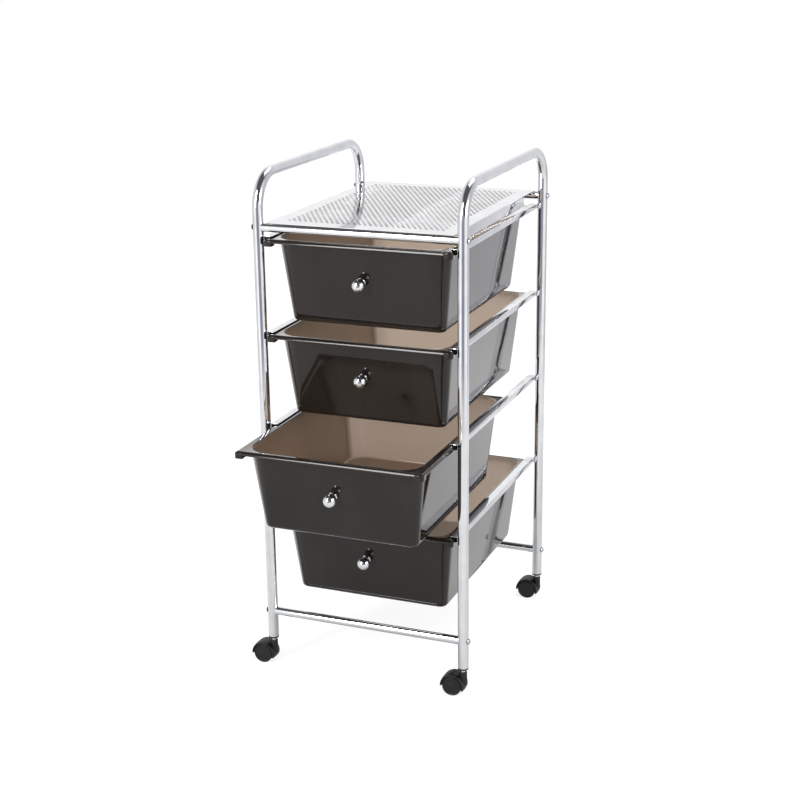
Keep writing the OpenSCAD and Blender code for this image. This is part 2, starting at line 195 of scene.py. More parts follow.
def blended(tree: Nodes, share: Socket, a: object, b: object) -> Socket:
    """Mixes two colours, given as linear values or sockets."""
    return add_node(tree, "ShaderNodeMix", {0: share, 6: a, 7: b}, data_type="RGBA").outputs[2]


def mixed(tree: Nodes, share: Socket, a: Socket, b: Socket) -> Socket:
    """Mixes two shaders."""
    return add_node(tree, "ShaderNodeMixShader", {0: share, 1: a, 2: b}).outputs[0]


def summed(tree: Nodes, a: Socket, b: Socket) -> Socket:
    """Adds two shaders."""
    return add_node(tree, "ShaderNodeAddShader", {0: a, 1: b}).outputs[0]


def worked(tree: Nodes, operation: str, a: object, b: object = 0.0) -> Socket:
    """Calculates with numbers."""
    return add_node(tree, "ShaderNodeMath", {0: a, 1: b}, operation=operation).outputs[0]


def measured(tree: Nodes, operation: str, a: Socket, b: Triple = (0, 0, 0)) -> Socket:
    """Calculates a number from vectors."""
    made = add_node(tree, "ShaderNodeVectorMath", {0: a, 1: b}, operation=operation)
    return made.outputs["Value"]


# ---------------------------------------------------------------- shapes


def box_of(node: str) -> Box:
    """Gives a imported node's lowest corner, highest corner and middle, in metres."""
    low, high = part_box(node)
    return low, high, (low + high) / 2


def arc(centre: Pair, radius: float, first: float, last: float, steps: int) -> list[Pair]:
    """Gives points along an arc.

    Args:
        centre: Its centre.
        radius: Its radius.
        first: Angle of the first point, in degrees.
        last: Angle of the last point, in degrees.
        steps: How many pieces it is cut into.

    Returns:
        The points, one more than the steps.
    """
    turns = [math.radians(first + (last - first) * k / steps) for k in range(steps + 1)]
    return [(centre[0] + radius * math.cos(a), centre[1] + radius * math.sin(a)) for a in turns]


def rounding(radius: float, steps: int) -> list[Pair]:
    """Gives a rounded edge: distances from its two faces, from (0, radius) to (radius, 0)."""
    return arc((radius, radius), radius, 180, 270, steps)


def circle(radius: float, count: int) -> list[Pair]:
    """Gives points round a circle."""
    return arc((0, 0), radius, 0, 360, count)[:-1]


def smoothed(data: Mesh, sharp: float = SHARP_ANGLE) -> Mesh:
    """Shades a mesh smooth.

    Args:
        data: The mesh.
        sharp: Angle in radians from which an edge is drawn hard.

    Returns:
        The same mesh.
    """
    data.shade_smooth()
    data.set_sharp_from_angle(angle=sharp)
    data.update()
    return data


def cleaned(data: Mesh) -> Mesh:
    """Welds a mesh's doubled points and turns its faces outwards.

    Args:
        data: The mesh.

    Returns:
        The same mesh.
    """
    work = bmesh.new()
    work.from_mesh(data)
    bmesh.ops.remove_doubles(work, verts=work.verts, dist=WELD_REACH)
    bmesh.ops.recalc_face_normals(work, faces=work.faces)
    work.to_mesh(data)
    work.free()
    return data


def raw_mesh(
    points: Iterable[Sequence[float]], edges: Sequence = (), faces: Sequence = ()
) -> Mesh:
    """Makes a mesh from its lists.

    Args:
        points: Its points.
        edges: Its loose edges, as pairs of point numbers.
        faces: Its faces, as rows of point numbers.

    Returns:
        The mesh.
    """
    data = bpy.data.meshes.new("mesh")
    data.from_pydata([tuple(p) for p in points], edges, faces)
    return data


class Mesher:
    """Collects the points and faces of one piece."""

    def __init__(self) -> None:
        """Starts with nothing."""
        self.points: list[Vector] = []
        self.faces: list[tuple[int, ...]] = []
        self.looks: list[int] = []

    def face(self, corners: Iterable[int], look: int = 0) -> None:
        """Adds one face with its material number."""
        self.faces.append(tuple(corners))
        self.looks.append(look)

    def loft(self, rings: Iterable[Iterable[Sequence[float]]], inner: int = 0) -> None:
        """Builds a closed skin over a row of rings.

        Args:
            rings: The rings' points, each with the same count.
            inner: How many bands have material 1, with the cap that they start from.
        """
        made = []
        for ring in rings:
            first = len(self.points)
            self.points.extend(Vector(p) for p in ring)
            made.append(range(first, len(self.points)))
        self.face(reversed(made[0]), int(inner > 0))
        for k, (a, b) in enumerate(zip(made, made[1:])):
            for i in range(len(a)):
                self.face((a[i - 1], a[i], b[i], b[i - 1]), int(k < inner))
        self.face(made[-1])

    def lathe(
        self, profile: Iterable[Pair], place: Callable[[float, float, float], Vector], count: int
    ) -> None:
        """Turns a profile round an axis.

        Args:
            profile: Pairs of height and radius, in millimetres; its ends are closed.
            place: Gives the point for two cross values and a height, all in metres.
            count: Points round the axis.
        """
        rings = [(h * MM, circle(r * MM, count)) for h, r in profile]
        self.loft([place(x, y, h) for x, y in ring] for h, ring in rings)

    def mesh(self, sharp: float = SHARP_ANGLE) -> Mesh:
        """Makes the mesh, with its faces turned outwards and its hard edges marked.

        Args:
            sharp: Angle in radians from which an edge is drawn hard.

        Returns:
            The finished mesh.
        """
        data = raw_mesh(self.points, faces=self.faces)
        data.polygons.foreach_set("material_index", self.looks)
        return smoothed(cleaned(data), sharp)


def modified(data: Mesh, kind: str, inputs: dict | None = None, **settings: object) -> Mesh:
    """Applies a modifier to a mesh.

    Args:
        data: The mesh that it starts from.
        kind: The modifier's type.
        inputs: Values of a geometry tree's sockets, by their identifiers.
        **settings: The modifier's own properties.

    Returns:
        A new plain mesh.
    """
    carrier = bpy.data.objects.new("carrier", data)
    bpy.context.scene.collection.objects.link(carrier)
    made = carrier.modifiers.new("modifier", kind)
    for key, value in settings.items():
        setattr(made, key, value)
    for key, value in (inputs or {}).items():
        made[key] = value
    bpy.context.view_layer.update()
    ready = carrier.evaluated_get(bpy.context.evaluated_depsgraph_get())
    done = bpy.data.meshes.new_from_object(ready)
    bpy.data.objects.remove(carrier)
    return done


def softened(data: Mesh, width: float, segments: int = 2) -> Mesh:
    """Rounds a mesh's hard edges.

    Args:
        data: The mesh.
        width: Width of the rounding, in millimetres.
        segments: Steps across it.

    Returns:
        The rounded mesh, shaded smooth.
    """
    size = {"width": width * MM, "segments": segments}
    limit = {"limit_method": "ANGLE", "angle_limit": BEVEL_ANGLE}
    return smoothed(modified(data, "BEVEL", **size, **limit, harden_normals=False))


def grown(data: Mesh, tree: Nodes, values: dict[str, object]) -> Mesh:
    """Runs a geometry tree on a mesh.

    Args:
        data: The mesh that enters the tree.
        tree: The tree.
        values: The tree's named inputs.

    Returns:
        A plain mesh with the tree's materials.
    """
    items = [item for item in tree.interface.items_tree if item.in_out == "INPUT"]
    sockets = {item.name: item.identifier for item in items}
    inputs = {sockets[name]: value for name, value in values.items()}
    return modified(data, "NODES", inputs, node_group=tree)


def joined(parts: Iterable[Mesh]) -> Mesh:
    """Puts several meshes with the same materials into one.

    Args:
        parts: The meshes.

    Returns:
        A new mesh, shaded smooth.
    """
    work = bmesh.new()
    for part in parts:
        work.from_mesh(part)
    data = bpy.data.meshes.new("joined")
    work.to_mesh(data)
    work.free()
    return smoothed(data)


def put(
    name: str, data: Mesh, body: str, looks: Sequence[Material], node: str = ""
) -> None:
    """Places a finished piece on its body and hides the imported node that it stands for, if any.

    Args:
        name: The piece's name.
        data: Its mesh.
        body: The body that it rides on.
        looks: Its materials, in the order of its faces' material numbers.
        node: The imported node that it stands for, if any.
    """
    data.name = name
    numbers = [0] * len(data.polygons)
    if len(looks) > 1:
        data.polygons.foreach_get("material_index", numbers)
    data.materials.clear()
    for look in looks:
        data.materials.append(look)
    data.polygons.foreach_set("material_index", numbers)
    piece = bpy.data.objects.new(name, data)
    bpy.context.scene.collection.objects.link(piece)
    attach(piece, body)
    if node:
        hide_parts(node)
    LOG.info("%s: %d faces on %s", name, len(data.polygons), body)


def dress(node: str, look: Material) -> None:
    """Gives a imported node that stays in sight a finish.

    Args:
        node: The node's name.
        look: Its material.
    """
    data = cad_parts[node].data
    data.materials.clear()
    data.materials.append(look)
    LOG.info("%s: packed node dressed as %s", node, look.name)


# ---------------------------------------------------------------- finishes


class Paint:
    """A material under construction: a Principled shader that reads Object coordinates."""

    def __init__(self, name: str) -> None:
        """Makes the material with its shader and output.

        Args:
            name: The material's name.
        """
        self.material = bpy.data.materials.new(name)
        self.material.use_nodes = True
        self.tree = self.material.node_tree
        self.tree.nodes.clear()
        self.shader = add_node(self.tree, "ShaderNodeBsdfPrincipled")
        surface = {"Surface": self.shader.outputs[0]}
        self.output = add_node(self.tree, "ShaderNodeOutputMaterial", surface)
        self.place = add_node(self.tree, "ShaderNodeTexCoord").outputs["Object"]

    def set(self, **values: object) -> None:
        """Sets shader inputs, written with underscores, to constants or sockets."""
        feed(self.tree, self.shader, {k.replace("_", " "): v for k, v in values.items()})

    def noise(
        self, grain: float, detail: float = 3.0, stretch: Triple = (1, 1, 1), rough: float = 0.5
    ) -> Socket:
        """Adds a noise whose features have a real size.

        Args:
            grain: Size of a feature, in millimetres.
            detail: Octaves.
            stretch: How many times longer the features are along each axis.
            rough: Share of the finer octaves.

        Returns:
            The noise's value.
        """
        squeeze = {"Vector": self.place, "Scale": tuple(1 / s for s in stretch)}
        place = add_node(self.tree, "ShaderNodeMapping", squeeze).outputs[0]
        inputs = {"Vector": place, "Scale": 1 / (grain * MM), "Detail": detail, "Roughness": rough}
        return add_node(self.tree, "ShaderNodeTexNoise", inputs).outputs[0]

    def between(self, value: Socket, source: Pair, target: Pair = (0.0, 1.0)) -> Socket:
        """Maps a value from one range onto another, clamped."""
        return ranged(self.tree, value, source, target)

    def blend(self, share: Socket, a: str | Socket, b: str | Socket) -> Socket:
        """Mixes two colours, given as hex values or sockets."""
        ends = [linear(colour) if isinstance(colour, str) else colour for colour in (a, b)]
        return blended(self.tree, share, *ends)

    def bump(self, height: Socket, depth: float) -> None:
        """Gives the shader a relief from 0 to a depth in millimetres."""
        inputs = {"Height": height, "Distance": depth * MM, "Strength": 1.0}
        self.set(Normal=add_node(self.tree, "ShaderNodeBump", inputs).outputs[0])


@dataclass(frozen=True)
class ChromePlate:
    """Bright chrome on polished steel: a hard cool mirror with faint haze from handling."""

    name: str
    colour: str = "#EDEEF0"
    shade: str = "#DFE0E4"
    polish: float = 0.025
    haze: float = 0.08
    # Handling leaves patches of this size, hazy and shaded between these levels of its noise
    patch: float = 34.0
    patch_rough: float = 0.6
    hazy: Pair = (0.5, 0.72)
    shaded: Pair = (0.35, 0.7)
    # Drawn tube shows long faint lines, rolled sheet shows them along its length
    grain: float = 1.2
    stretch: Triple = (1, 1, 30)
    lined: Pair = (0.35, 0.75)
    line_rough: float = 0.02
    # The plating's orange peel is under a micrometre deep; it is drawn deeper so that it shows
    peel: float = 9.0
    peel_depth: float = 0.012

    def build(self) -> Material:
        """Makes the material.

        Returns:
            The material.
        """
        paint = Paint(self.name)
        smudge = paint.noise(self.patch, 4, rough=self.patch_rough)
        lines = paint.noise(self.grain, 2, self.stretch)
        hazy = paint.between(smudge, self.hazy, (self.polish, self.haze))
        lined = paint.between(lines, self.lined, (0.0, self.line_rough))
        paint.set(
            Base_Color=paint.blend(paint.between(smudge, self.shaded), self.colour, self.shade),
            Metallic=1.0,
            Roughness=worked(paint.tree, "ADD", hazy, lined),
        )
        paint.bump(paint.noise(self.peel, 1), self.peel_depth)
        return paint.material


@dataclass(frozen=True)
class ZincPlate:
    """Bright zinc on small steel parts: paler and duller than chrome, with a fine grain."""

    name: str
    colour: str
    shade: str
    grain: float = 0.8
    grain_depth: float = 0.01
    gloss: Pair = (0.16, 0.3)

    def build(self) -> Material:
        """Makes the material.

        Returns:
            The material.
        """
        paint = Paint(self.name)
        grain = paint.noise(self.grain, 4)
        paint.set(
            Base_Color=paint.blend(grain, self.colour, self.shade),
            Metallic=1.0,
            Roughness=paint.between(grain, (0.3, 0.7), self.gloss),
        )
        paint.bump(grain, self.grain_depth)
        return paint.material


@dataclass(frozen=True)
class SmokedStyrene:
    """Moulded smoke grey polystyrene: glossy, dark outside, brown where light comes through; its
    copy for the inner faces is painted lighter.
    """

    name: str
    colour: str = "#1A1613"
    streak: str = "#201B18"
    # How strongly it mirrors straight on, 0.5 is a clean face of its index
    gleam: float = 0.4
    gloss: float = 0.05
    scuffed: float = 0.12
    index: float = 1.5
    # Tint of the light that scatters through a wall that looks to the front, up or down
    glow: str = "#0B0908"
    # The same for walls that look to the sides, and for those that look to the rear; where these
    # differ from the first, they are painted light and shade set by the way a wall faces, darker
    # on the sides
    glow_sides: str = "#0B0908"
    glow_rear: str = "#0B0908"
    # The wall's inner surface mirrors as well; it shows from this slant on, 0 is straight on
    slant: Pair = (0.5, 0.63)
    # Light that has entered the wall leaves it again with this tint
    leaving: str = "#F6EFE8"
    # Where a wall's direction brings in the sides' painted tint and the rear's
    sideways: Pair = (0.8, 0.97)
    rearwards: Pair = (0.4, 0.8)
    # Streaks from the flow of the melt, and fine scratches across the cart
    flow: float = 70.0
    flow_stretch: Triple = (1, 1, 3)
    flowing: Pair = (0.35, 0.65)
    scratch: float = 0.9
    scratch_stretch: Triple = (14, 3, 1)
    scratched: Pair = (0.6, 0.8)
    # Moulded walls are never quite flat: a shallow waviness bends what they mirror
    wave: float = 38.0
    wave_depth: float = 0.08

    def build(self) -> Material:
        """Makes the material.

        Returns:
            The material.
        """
        paint = Paint(self.name)
        tree = paint.tree
        flow = paint.between(paint.noise(self.flow, 2, self.flow_stretch), self.flowing)
        scratch = paint.noise(self.scratch, 3, self.scratch_stretch)
        slanted = add_node(tree, "ShaderNodeLayerWeight", {"Blend": 0.5}).outputs["Facing"]
        paint.set(
            Base_Color=paint.blend(flow, self.colour, self.streak),
            Roughness=paint.between(scratch, self.scratched, (self.gloss, self.scuffed)),
            IOR=self.index,
            Specular_IOR_Level=self.gleam,
            Coat_Weight=paint.between(slanted, self.slant),
            Coat_Roughness=self.gloss,
            Coat_IOR=self.index,
        )
        paint.bump(paint.noise(self.wave, 1), self.wave_depth)
        # Painted light and shade: the glow's tint is picked by the way the wall faces, darker on
        # the sides
        facing = {0: paint.place.node.outputs["Normal"]}
        across, along, _ = add_node(tree, "ShaderNodeSeparateXYZ", facing).outputs
        sides = paint.between(worked(tree, "ABSOLUTE", across), self.sideways)
        rear = paint.between(along, self.rearwards)
        painted_glow_tint = paint.blend(rear, paint.blend(sides, self.glow, self.glow_sides), self.glow_rear)
        through = add_node(tree, "ShaderNodeBsdfTranslucent", {"Color": painted_glow_tint}).outputs[0]
        outside = summed(tree, paint.shader.outputs[0], through)
        tinted = {"Color": linear(self.leaving)}
        inside = add_node(tree, "ShaderNodeBsdfTransparent", tinted).outputs[0]
        behind = add_node(tree, "ShaderNodeNewGeometry").outputs["Backfacing"]
        tree.links.new(mixed(tree, behind, outside, inside), paint.output.inputs[0])
        return paint.material


@dataclass(frozen=True)
class MouldedNylon:
    """Black moulded nylon: satin, with the fine spark texture of its mould and greyed patches."""

    name: str
    colour: str = "#0D0D0E"
    worn: str = "#18181A"
    gloss: float = 0.34
    rough: float = 0.52
    sheen: float = 0.42
    index: float = 1.53
    patch: float = 9.0
    # The spark texture is about 0.05 mm wide; it is drawn as 0.5 mm so that it shows
    grain: float = 0.5
    grain_depth: float = 0.025

    def build(self) -> Material:
        """Makes the material.

        Returns:
            The material.
        """
        paint = Paint(self.name)
        patch = paint.noise(self.patch, 3)
        worn = paint.between(patch, (0.45, 0.75))
        paint.set(
            Base_Color=paint.blend(worn, self.colour, self.worn),
            Roughness=paint.between(patch, (0.3, 0.7), (self.gloss, self.rough)),
            IOR=self.index,
            Specular_IOR_Level=self.sheen,
        )
        paint.bump(paint.noise(self.grain, 2), self.grain_depth)
        return paint.material


# ---------------------------------------------------------------- studio and camera


@dataclass(frozen=True)
class Studio:
    """White studio: a pale floor, soft lamps and a white surround, all in metres.

    What metal and plastic mirror is set apart from it: bright panels with darker gaps between
    them, a dark ceiling and a floor with shades.
    """

    # Name, place, width and height, and watts of each lamp, and where all of them look
    lamps: tuple[tuple[str, Triple, Pair, float], ...] = (
        ("key", (-0.96, -2.5, 1.72), (0.5, 2.2), 52),
        ("fill", (2.6, -1.0, 1.5), (1.4, 1.4), 30),
        ("top", (0.3, 1.0, 2.9), (1.6, 1.6), 10),
    )
    aim: Triple = (0.0, 0.0, 0.4)
    # Light on matt surfaces from the surround: from the far left, and from the whole right
    surround: Pair = (0.3, 1.05)
    # Mirrored brightness of the surround by compass angle in degrees, 0 towards +X
    panels: tuple[Pair, ...] = (
        (-180, 0.78), (-150, 0.80), (-130, 1.2), (-108, 1.2), (-98, 0.34), (-54, 0.30),
        (-44, 1.0), (2, 1.05), (18, 0.6), (40, 0.58), (62, 0.72), (88, 0.8), (98, 1.0),
        (124, 1.0), (140, 0.75), (180, 0.78),
    )  # fmt: skip
    # How much blue the darker panels get
    cool: float = 0.1
    # Dark patches: direction, cosines of their outer and inner edge, level. The first is the
    # ceiling, in front of the zenith; the second is where the camera would be mirrored
    patches: tuple[tuple[Triple, Pair, float], ...] = (
        ((0.0, -0.17, 0.985), (0.5, 0.86), 0.1),
        ((0.58, -0.69, 0.43), (0.9, 0.965), 0.07),
    )
    floor_half: float = 7.0
    # The floor's mirrored level close to the cart, and where the panels' light takes over
    floor_level: float = 0.93
    floor_reach: Pair = (1.2, 2.1)
    # The floor's mirrored shades before, under and beside the cart: centre, reach and level
    shades: tuple[tuple[Triple, Pair, float], ...] = (
        ((-0.2, -0.45, 0.0), (0.05, 0.5), 0.86),
        ((0.0, 0.0, 0.0), (0.1, 0.34), 0.5),
        ((0.4, 0.3, 0.0), (0.2, 0.9), 0.8),
    )
    # Light on matt surfaces from the floor: weak under the cart, full beyond this reach. The
    # floor's matt colour is painted darker near the cart, a painted shadow
    bounce_reach: Pair = (0.25, 1.1)
    bounce: Pair = (0.2, 0.8)
    # The camera sees a floor that shines by itself, with a matt share that takes the shadow
    floor_glow: float = 0.76
    floor_matt: float = 0.36

    def build(self) -> None:
        """Makes the world, the floor and the lamps."""
        self.world()
        self.floor()
        for name, place, size, power in self.lamps:
            self.lamp(name, place, size, power)

    def lamp(self, name: str, place: Triple, size: Pair, power: float) -> None:
        """Adds a soft lamp that looks at the cart's middle.

        Args:
            name: The lamp's name.
            place: Where it hangs.
            size: Its width and height.
            power: Its power, in watts.
        """
        data = bpy.data.lights.new(name, "AREA")
        data.shape = "RECTANGLE"
        data.size, data.size_y = size
        data.energy = power
        lamp = bpy.data.objects.new(name, data)
        lamp.location = place
        way = Vector(self.aim) - Vector(place)
        lamp.rotation_euler = way.to_track_quat("-Z", "Y").to_euler()
        bpy.context.scene.collection.objects.link(lamp)

    def mirrored_panels(self, tree: Nodes, way: Socket) -> Socket:
        """Gives the panels' brightness for a direction.

        Args:
            tree: The tree that the nodes go into.
            way: A vector that points there from the cart.

        Returns:
            The brightness as a colour.
        """
        x, y, _ = add_node(tree, "ShaderNodeSeparateXYZ", {0: way}).outputs
        share = ranged(tree, worked(tree, "ARCTAN2", y, x), (-math.pi, math.pi))
        made = add_node(tree, "ShaderNodeValToRGB", {0: share})
        ramp = made.color_ramp
        while len(ramp.elements) < len(self.panels):
            ramp.elements.new(0.5)
        for element, (angle, level) in zip(ramp.elements, self.panels):
            element.position = (angle + 180) / 360
            element.color = (level, level, level + max(1 - level, 0) * self.cool, 1)
        return made.outputs[0]

    def by_ray(self, tree: Nodes, output: str, matt: Socket, shiny: Socket, seen: Socket) -> None:
        """Picks a shader by the kind of ray.

        Args:
            tree: The tree that the nodes go into.
            output: The type of its output node.
            matt: The shader for light on matt surfaces.
            shiny: The shader that is mirrored.
            seen: The shader that the camera sees.
        """
        path = add_node(tree, "ShaderNodeLightPath").outputs
        unseen = mixed(tree, path["Is Glossy Ray"], matt, shiny)
        add_node(tree, output, {"Surface": mixed(tree, path["Is Camera Ray"], unseen, seen)})

    def world(self) -> None:
        """Makes the surround: white to the camera, panels to mirrors, plain to the rest."""
        world = bpy.data.worlds.new("surround")
        bpy.context.scene.world = world
        world.use_nodes = True
        tree = world.node_tree
        tree.nodes.clear()
        way = add_node(tree, "ShaderNodeTexCoord").outputs["Generated"]
        mirrored = self.mirrored_panels(tree, way)
        for axis, edge, level in self.patches:
            share = ranged(tree, measured(tree, "DOT_PRODUCT", way, axis), edge, smooth=True)
            mirrored = blended(tree, share, mirrored, grey(level))
        right = measured(tree, "DOT_PRODUCT", way, (1, 0, 0))
        plain = ranged(tree, right, (-1.0, 0.0), self.surround)
        shaders = [
            add_node(tree, "ShaderNodeBackground", {"Color": colour, "Strength": strength})
            for colour, strength in ((grey(1), plain), (mirrored, 1.0), (grey(1), 1.0))
        ]
        self.by_ray(tree, "ShaderNodeOutputWorld", *(shader.outputs[0] for shader in shaders))

    def floor(self) -> None:
        """Makes the pale floor, which shows white with the cart's soft shadow."""
        half = self.floor_half
        corners = [(-half, -half, 0), (half, -half, 0), (half, half, 0), (-half, half, 0)]
        floor = bpy.data.objects.new("floor", raw_mesh(corners, faces=[(0, 1, 2, 3)]))
        bpy.context.scene.collection.objects.link(floor)
        look = bpy.data.materials.new("pale floor")
        look.use_nodes = True
        tree = look.node_tree
        tree.nodes.clear()
        place = add_node(tree, "ShaderNodeTexCoord").outputs["Object"]
        away = measured(tree, "LENGTH", place)
        # Painted shadow: the floor's matt colour darkens towards the cart
        white = ranged(tree, away, self.bounce_reach, self.bounce, smooth=True)
        mirrored = {"Color": self.floor_pattern(tree, place, away)}
        glow = {"Color": grey(1), "Strength": self.floor_glow}
        plain, soft, shiny, lit = (
            add_node(tree, f"ShaderNode{kind}", inputs).outputs[0]
            for kind, inputs in (
                ("BsdfDiffuse", {"Color": white}),
                ("BsdfDiffuse", {"Color": grey(self.floor_matt)}),
                ("Emission", mirrored),
                ("Emission", glow),
            )
        )
        self.by_ray(tree, "ShaderNodeOutputMaterial", plain, shiny, summed(tree, soft, lit))
        floor.data.materials.append(look)

    def floor_pattern(self, tree: Nodes, place: Socket, away: Socket) -> Socket:
        """Gives the floor as it is mirrored.

        Args:
            tree: The tree that the nodes go into.
            place: The spot on the floor.
            away: Its distance from the cart.

        Returns:
            Its brightness as a colour: plain round the cart, then the panels' light, shaded.
        """
        share = ranged(tree, away, self.floor_reach, smooth=True)
        lit = blended(tree, share, grey(self.floor_level), self.mirrored_panels(tree, place))
        for centre, reach, level in self.shades:
            gap = measured(tree, "DISTANCE", place, centre)
            inputs = {0: lit, "Scale": ranged(tree, gap, reach, (level, 1.0), smooth=True)}
            lit = add_node(tree, "ShaderNodeVectorMath", inputs, operation="SCALE").outputs[0]
        return lit


@dataclass(frozen=True)
class Viewpoint:
    """The camera, as worked out from the photograph's own lines."""

    place: Triple = (882.5, -2136.66, 1129.6)
    # All three in degrees
    yaw: float = 21.96
    pitch: float = 17.35
    roll: float = -0.69
    # Focal length and width of the photo, both in its pixels
    focal: float = 1578.5
    photo: float = 800.0
    sensor: float = 36.0
    # How far it sees, in metres
    sight: float = 50.0

    def build(self) -> None:
        """Makes the camera and sets it as the scene's own."""
        yaw, pitch, roll = (math.radians(a) for a in (self.yaw, self.pitch, self.roll))
        flat, steep = math.cos(pitch), math.sin(pitch)
        back = Vector((math.sin(yaw) * flat, -math.cos(yaw) * flat, steep))
        level = Vector((math.cos(yaw), math.sin(yaw), 0))
        upright = back.cross(level)
        right = math.cos(roll) * level + math.sin(roll) * upright
        up = math.cos(roll) * upright - math.sin(roll) * level
        data = bpy.data.cameras.new("camera")
        data.sensor_width = self.sensor
        data.lens = self.focal / self.photo * self.sensor
        data.clip_end = self.sight
        camera = bpy.data.objects.new("camera", data)
        turned = Matrix((right, up, back)).transposed().to_4x4()
        camera.matrix_world = Matrix.Translation(Vector(self.place) * MM) @ turned
        bpy.context.scene.collection.objects.link(camera)
        bpy.context.scene.camera = camera


# ---------------------------------------------------------------- geometry trees


class Tree:
    """A geometry tree with named inputs."""

    def __init__(self, name: str, inputs: dict[str, str]) -> None:
        """Makes the tree's shell.

        Args:
            name: The tree's name.
            inputs: Maps each input's name to its type; the geometry and the material are added.
        """
        self.tree = bpy.data.node_groups.new(name, "GeometryNodeTree")
        for title, kind in {"Geometry": "Geometry", **inputs, "Material": "Material"}.items():
            self.shell(title, kind, "INPUT")
        self.shell("Geometry", "Geometry", "OUTPUT")
        self.inputs = add_node(self.tree, "NodeGroupInput").outputs

    def shell(self, title: str, kind: str, way: str) -> None:
        """Adds a socket to the tree's shell."""
        self.tree.interface.new_socket(title, in_out=way, socket_type=f"NodeSocket{kind}")

    def add(
        self, kind: str, inputs: dict | None = None, output: int | str = 0, **settings: object
    ) -> Socket:
        """Adds a geometry node and gives one of its outputs."""
        return add_node(self.tree, f"GeometryNode{kind}", inputs, **settings).outputs[output]

    def math(self, operation: str, a: object, b: object = 0.0) -> Socket:
        """Calculates with numbers."""
        return worked(self.tree, operation, a, b)

    def spot(self, axis: int) -> Socket:
        """Gives a point's own place along an axis."""
        place = {0: self.add("InputPosition")}
        return add_node(self.tree, "ShaderNodeSeparateXYZ", place).outputs[axis]

    def vector(self, x: object = 0.0, y: object = 0.0, z: object = 0.0) -> Socket:
        """Makes a vector."""
        return add_node(self.tree, "ShaderNodeCombineXYZ", {0: x, 1: y, 2: z}).outputs[0]

    def ring(self, facets: Socket, radius: Socket) -> Socket:
        """Makes a round curve."""
        inputs = {"Resolution": facets, "Radius": radius}
        return self.add("CurvePrimitiveCircle", inputs, mode="RADIUS")

    def join(self, *parts: Socket) -> Socket:
        """Joins geometries.

        Args:
            *parts: The geometries.

        Returns:
            One geometry with all of them.
        """
        made = add_node(self.tree, "GeometryNodeJoinGeometry")
        for part in parts:
            self.tree.links.new(part, made.inputs[0])
        return made.outputs[0]

    def end(self, geometry: Socket) -> Nodes:
        """Closes the tree: real geometry with the material from its inputs.

        Args:
            geometry: What the tree has made.

        Returns:
            The finished tree.
        """
        real = self.add("RealizeInstances", {"Geometry": geometry})
        inputs = {"Geometry": real, "Material": self.inputs["Material"]}
        made = {"Geometry": self.add("SetMaterial", inputs)}
        add_node(self.tree, "NodeGroupOutput", made)
        return self.tree


def tube_tree() -> Nodes:
    """Builds the tree that runs a round tube along a path of edges.

    Returns:
        The tree.
    """
    tree = Tree("tube along a path", {"Radius": "Float", "Facets": "Int"})
    line = tree.add("MeshToCurve", {"Mesh": tree.inputs["Geometry"]})
    ring = tree.ring(tree.inputs["Facets"], tree.inputs["Radius"])
    return tree.end(tree.add("CurveToMesh", {"Curve": line, "Profile Curve": ring}))


def copies_tree() -> Nodes:
    """Builds the tree that sets an object on each point; those left of the middle face left.

    Returns:
        The tree.
    """
    tree = Tree("copies on points", {"Shape": "Object", "Middle": "Float"})
    shape = tree.add("ObjectInfo", {"Object": tree.inputs["Shape"]}, "Geometry")
    left = tree.math("LESS_THAN", tree.spot(0), tree.inputs["Middle"])
    turn = tree.vector(z=tree.math("MULTIPLY", left, math.pi))
    points = tree.add("MeshToPoints", {"Mesh": tree.inputs["Geometry"]})
    inputs = {"Points": points, "Instance": shape, "Rotation": turn}
    return tree.end(tree.add("InstanceOnPoints", inputs))


def sheet_tree() -> Nodes:
    """Builds the tree that punches staggered rows of round holes through a sheet's outline.

    Returns:
        The tree.
    """
    sizes = "Pitch", "Row pitch", "Hole radius", "Middle X", "Middle Y", "Half width", "Thickness"
    counts = "Columns", "Rows", "Facets"
    tree = Tree("perforated sheet", {n: "Float" for n in sizes} | {n: "Int" for n in counts})
    pin = tree.inputs
    outline = tree.add("MeshToCurve", {"Mesh": pin["Geometry"]})
    wide, deep = (
        tree.math("MULTIPLY", tree.math("SUBTRACT", pin[count], 1), pin[pitch])
        for count, pitch in (("Columns", "Pitch"), ("Rows", "Row pitch"))
    )
    lines = {"Vertices X": pin["Columns"], "Vertices Y": pin["Rows"]}
    grid = tree.add("MeshGrid", {"Size X": wide, "Size Y": deep, **lines})
    # Every second row is shifted by half a pitch
    row = tree.math("ROUND", tree.math("DIVIDE", tree.spot(1), pin["Row pitch"]))
    odd = tree.math("ABSOLUTE", tree.math("MODULO", row, 2.0))
    shift = tree.math("MULTIPLY", odd, tree.math("MULTIPLY", pin["Pitch"], 0.5))
    moved = tree.add("SetPosition", {"Geometry": grid, "Offset": tree.vector(shift)})
    outside = tree.math("GREATER_THAN", tree.math("ABSOLUTE", tree.spot(0)), pin["Half width"])
    rest = {"Geometry": moved, "Selection": outside}
    kept = tree.add("DeleteGeometry", rest, domain="POINT", mode="ALL")
    middle = tree.vector(pin["Middle X"], pin["Middle Y"])
    centred = tree.add("Transform", {"Geometry": kept, "Translation": middle})
    ring = tree.ring(pin["Facets"], pin["Hole radius"])
    rings = tree.add("InstanceOnPoints", {"Points": centred, "Instance": ring})
    edges = tree.join(tree.add("RealizeInstances", {"Geometry": rings}), outline)
    top = tree.add("FillCurve", {"Curve": edges}, mode="TRIANGLES")
    down = tree.vector(z=tree.math("MULTIPLY", pin["Thickness"], -1.0))
    low = tree.add("Transform", {"Geometry": top, "Translation": down})
    lift = {"Mesh": low, "Offset Scale": pin["Thickness"], "Individual": False}
    raised = tree.add("ExtrudeMesh", lift, mode="FACES")
    both = tree.join(raised, tree.add("FlipFaces", {"Mesh": low}))
    return tree.end(tree.add("MergeByDistance", {"Geometry": both, "Distance": MM * MM}))


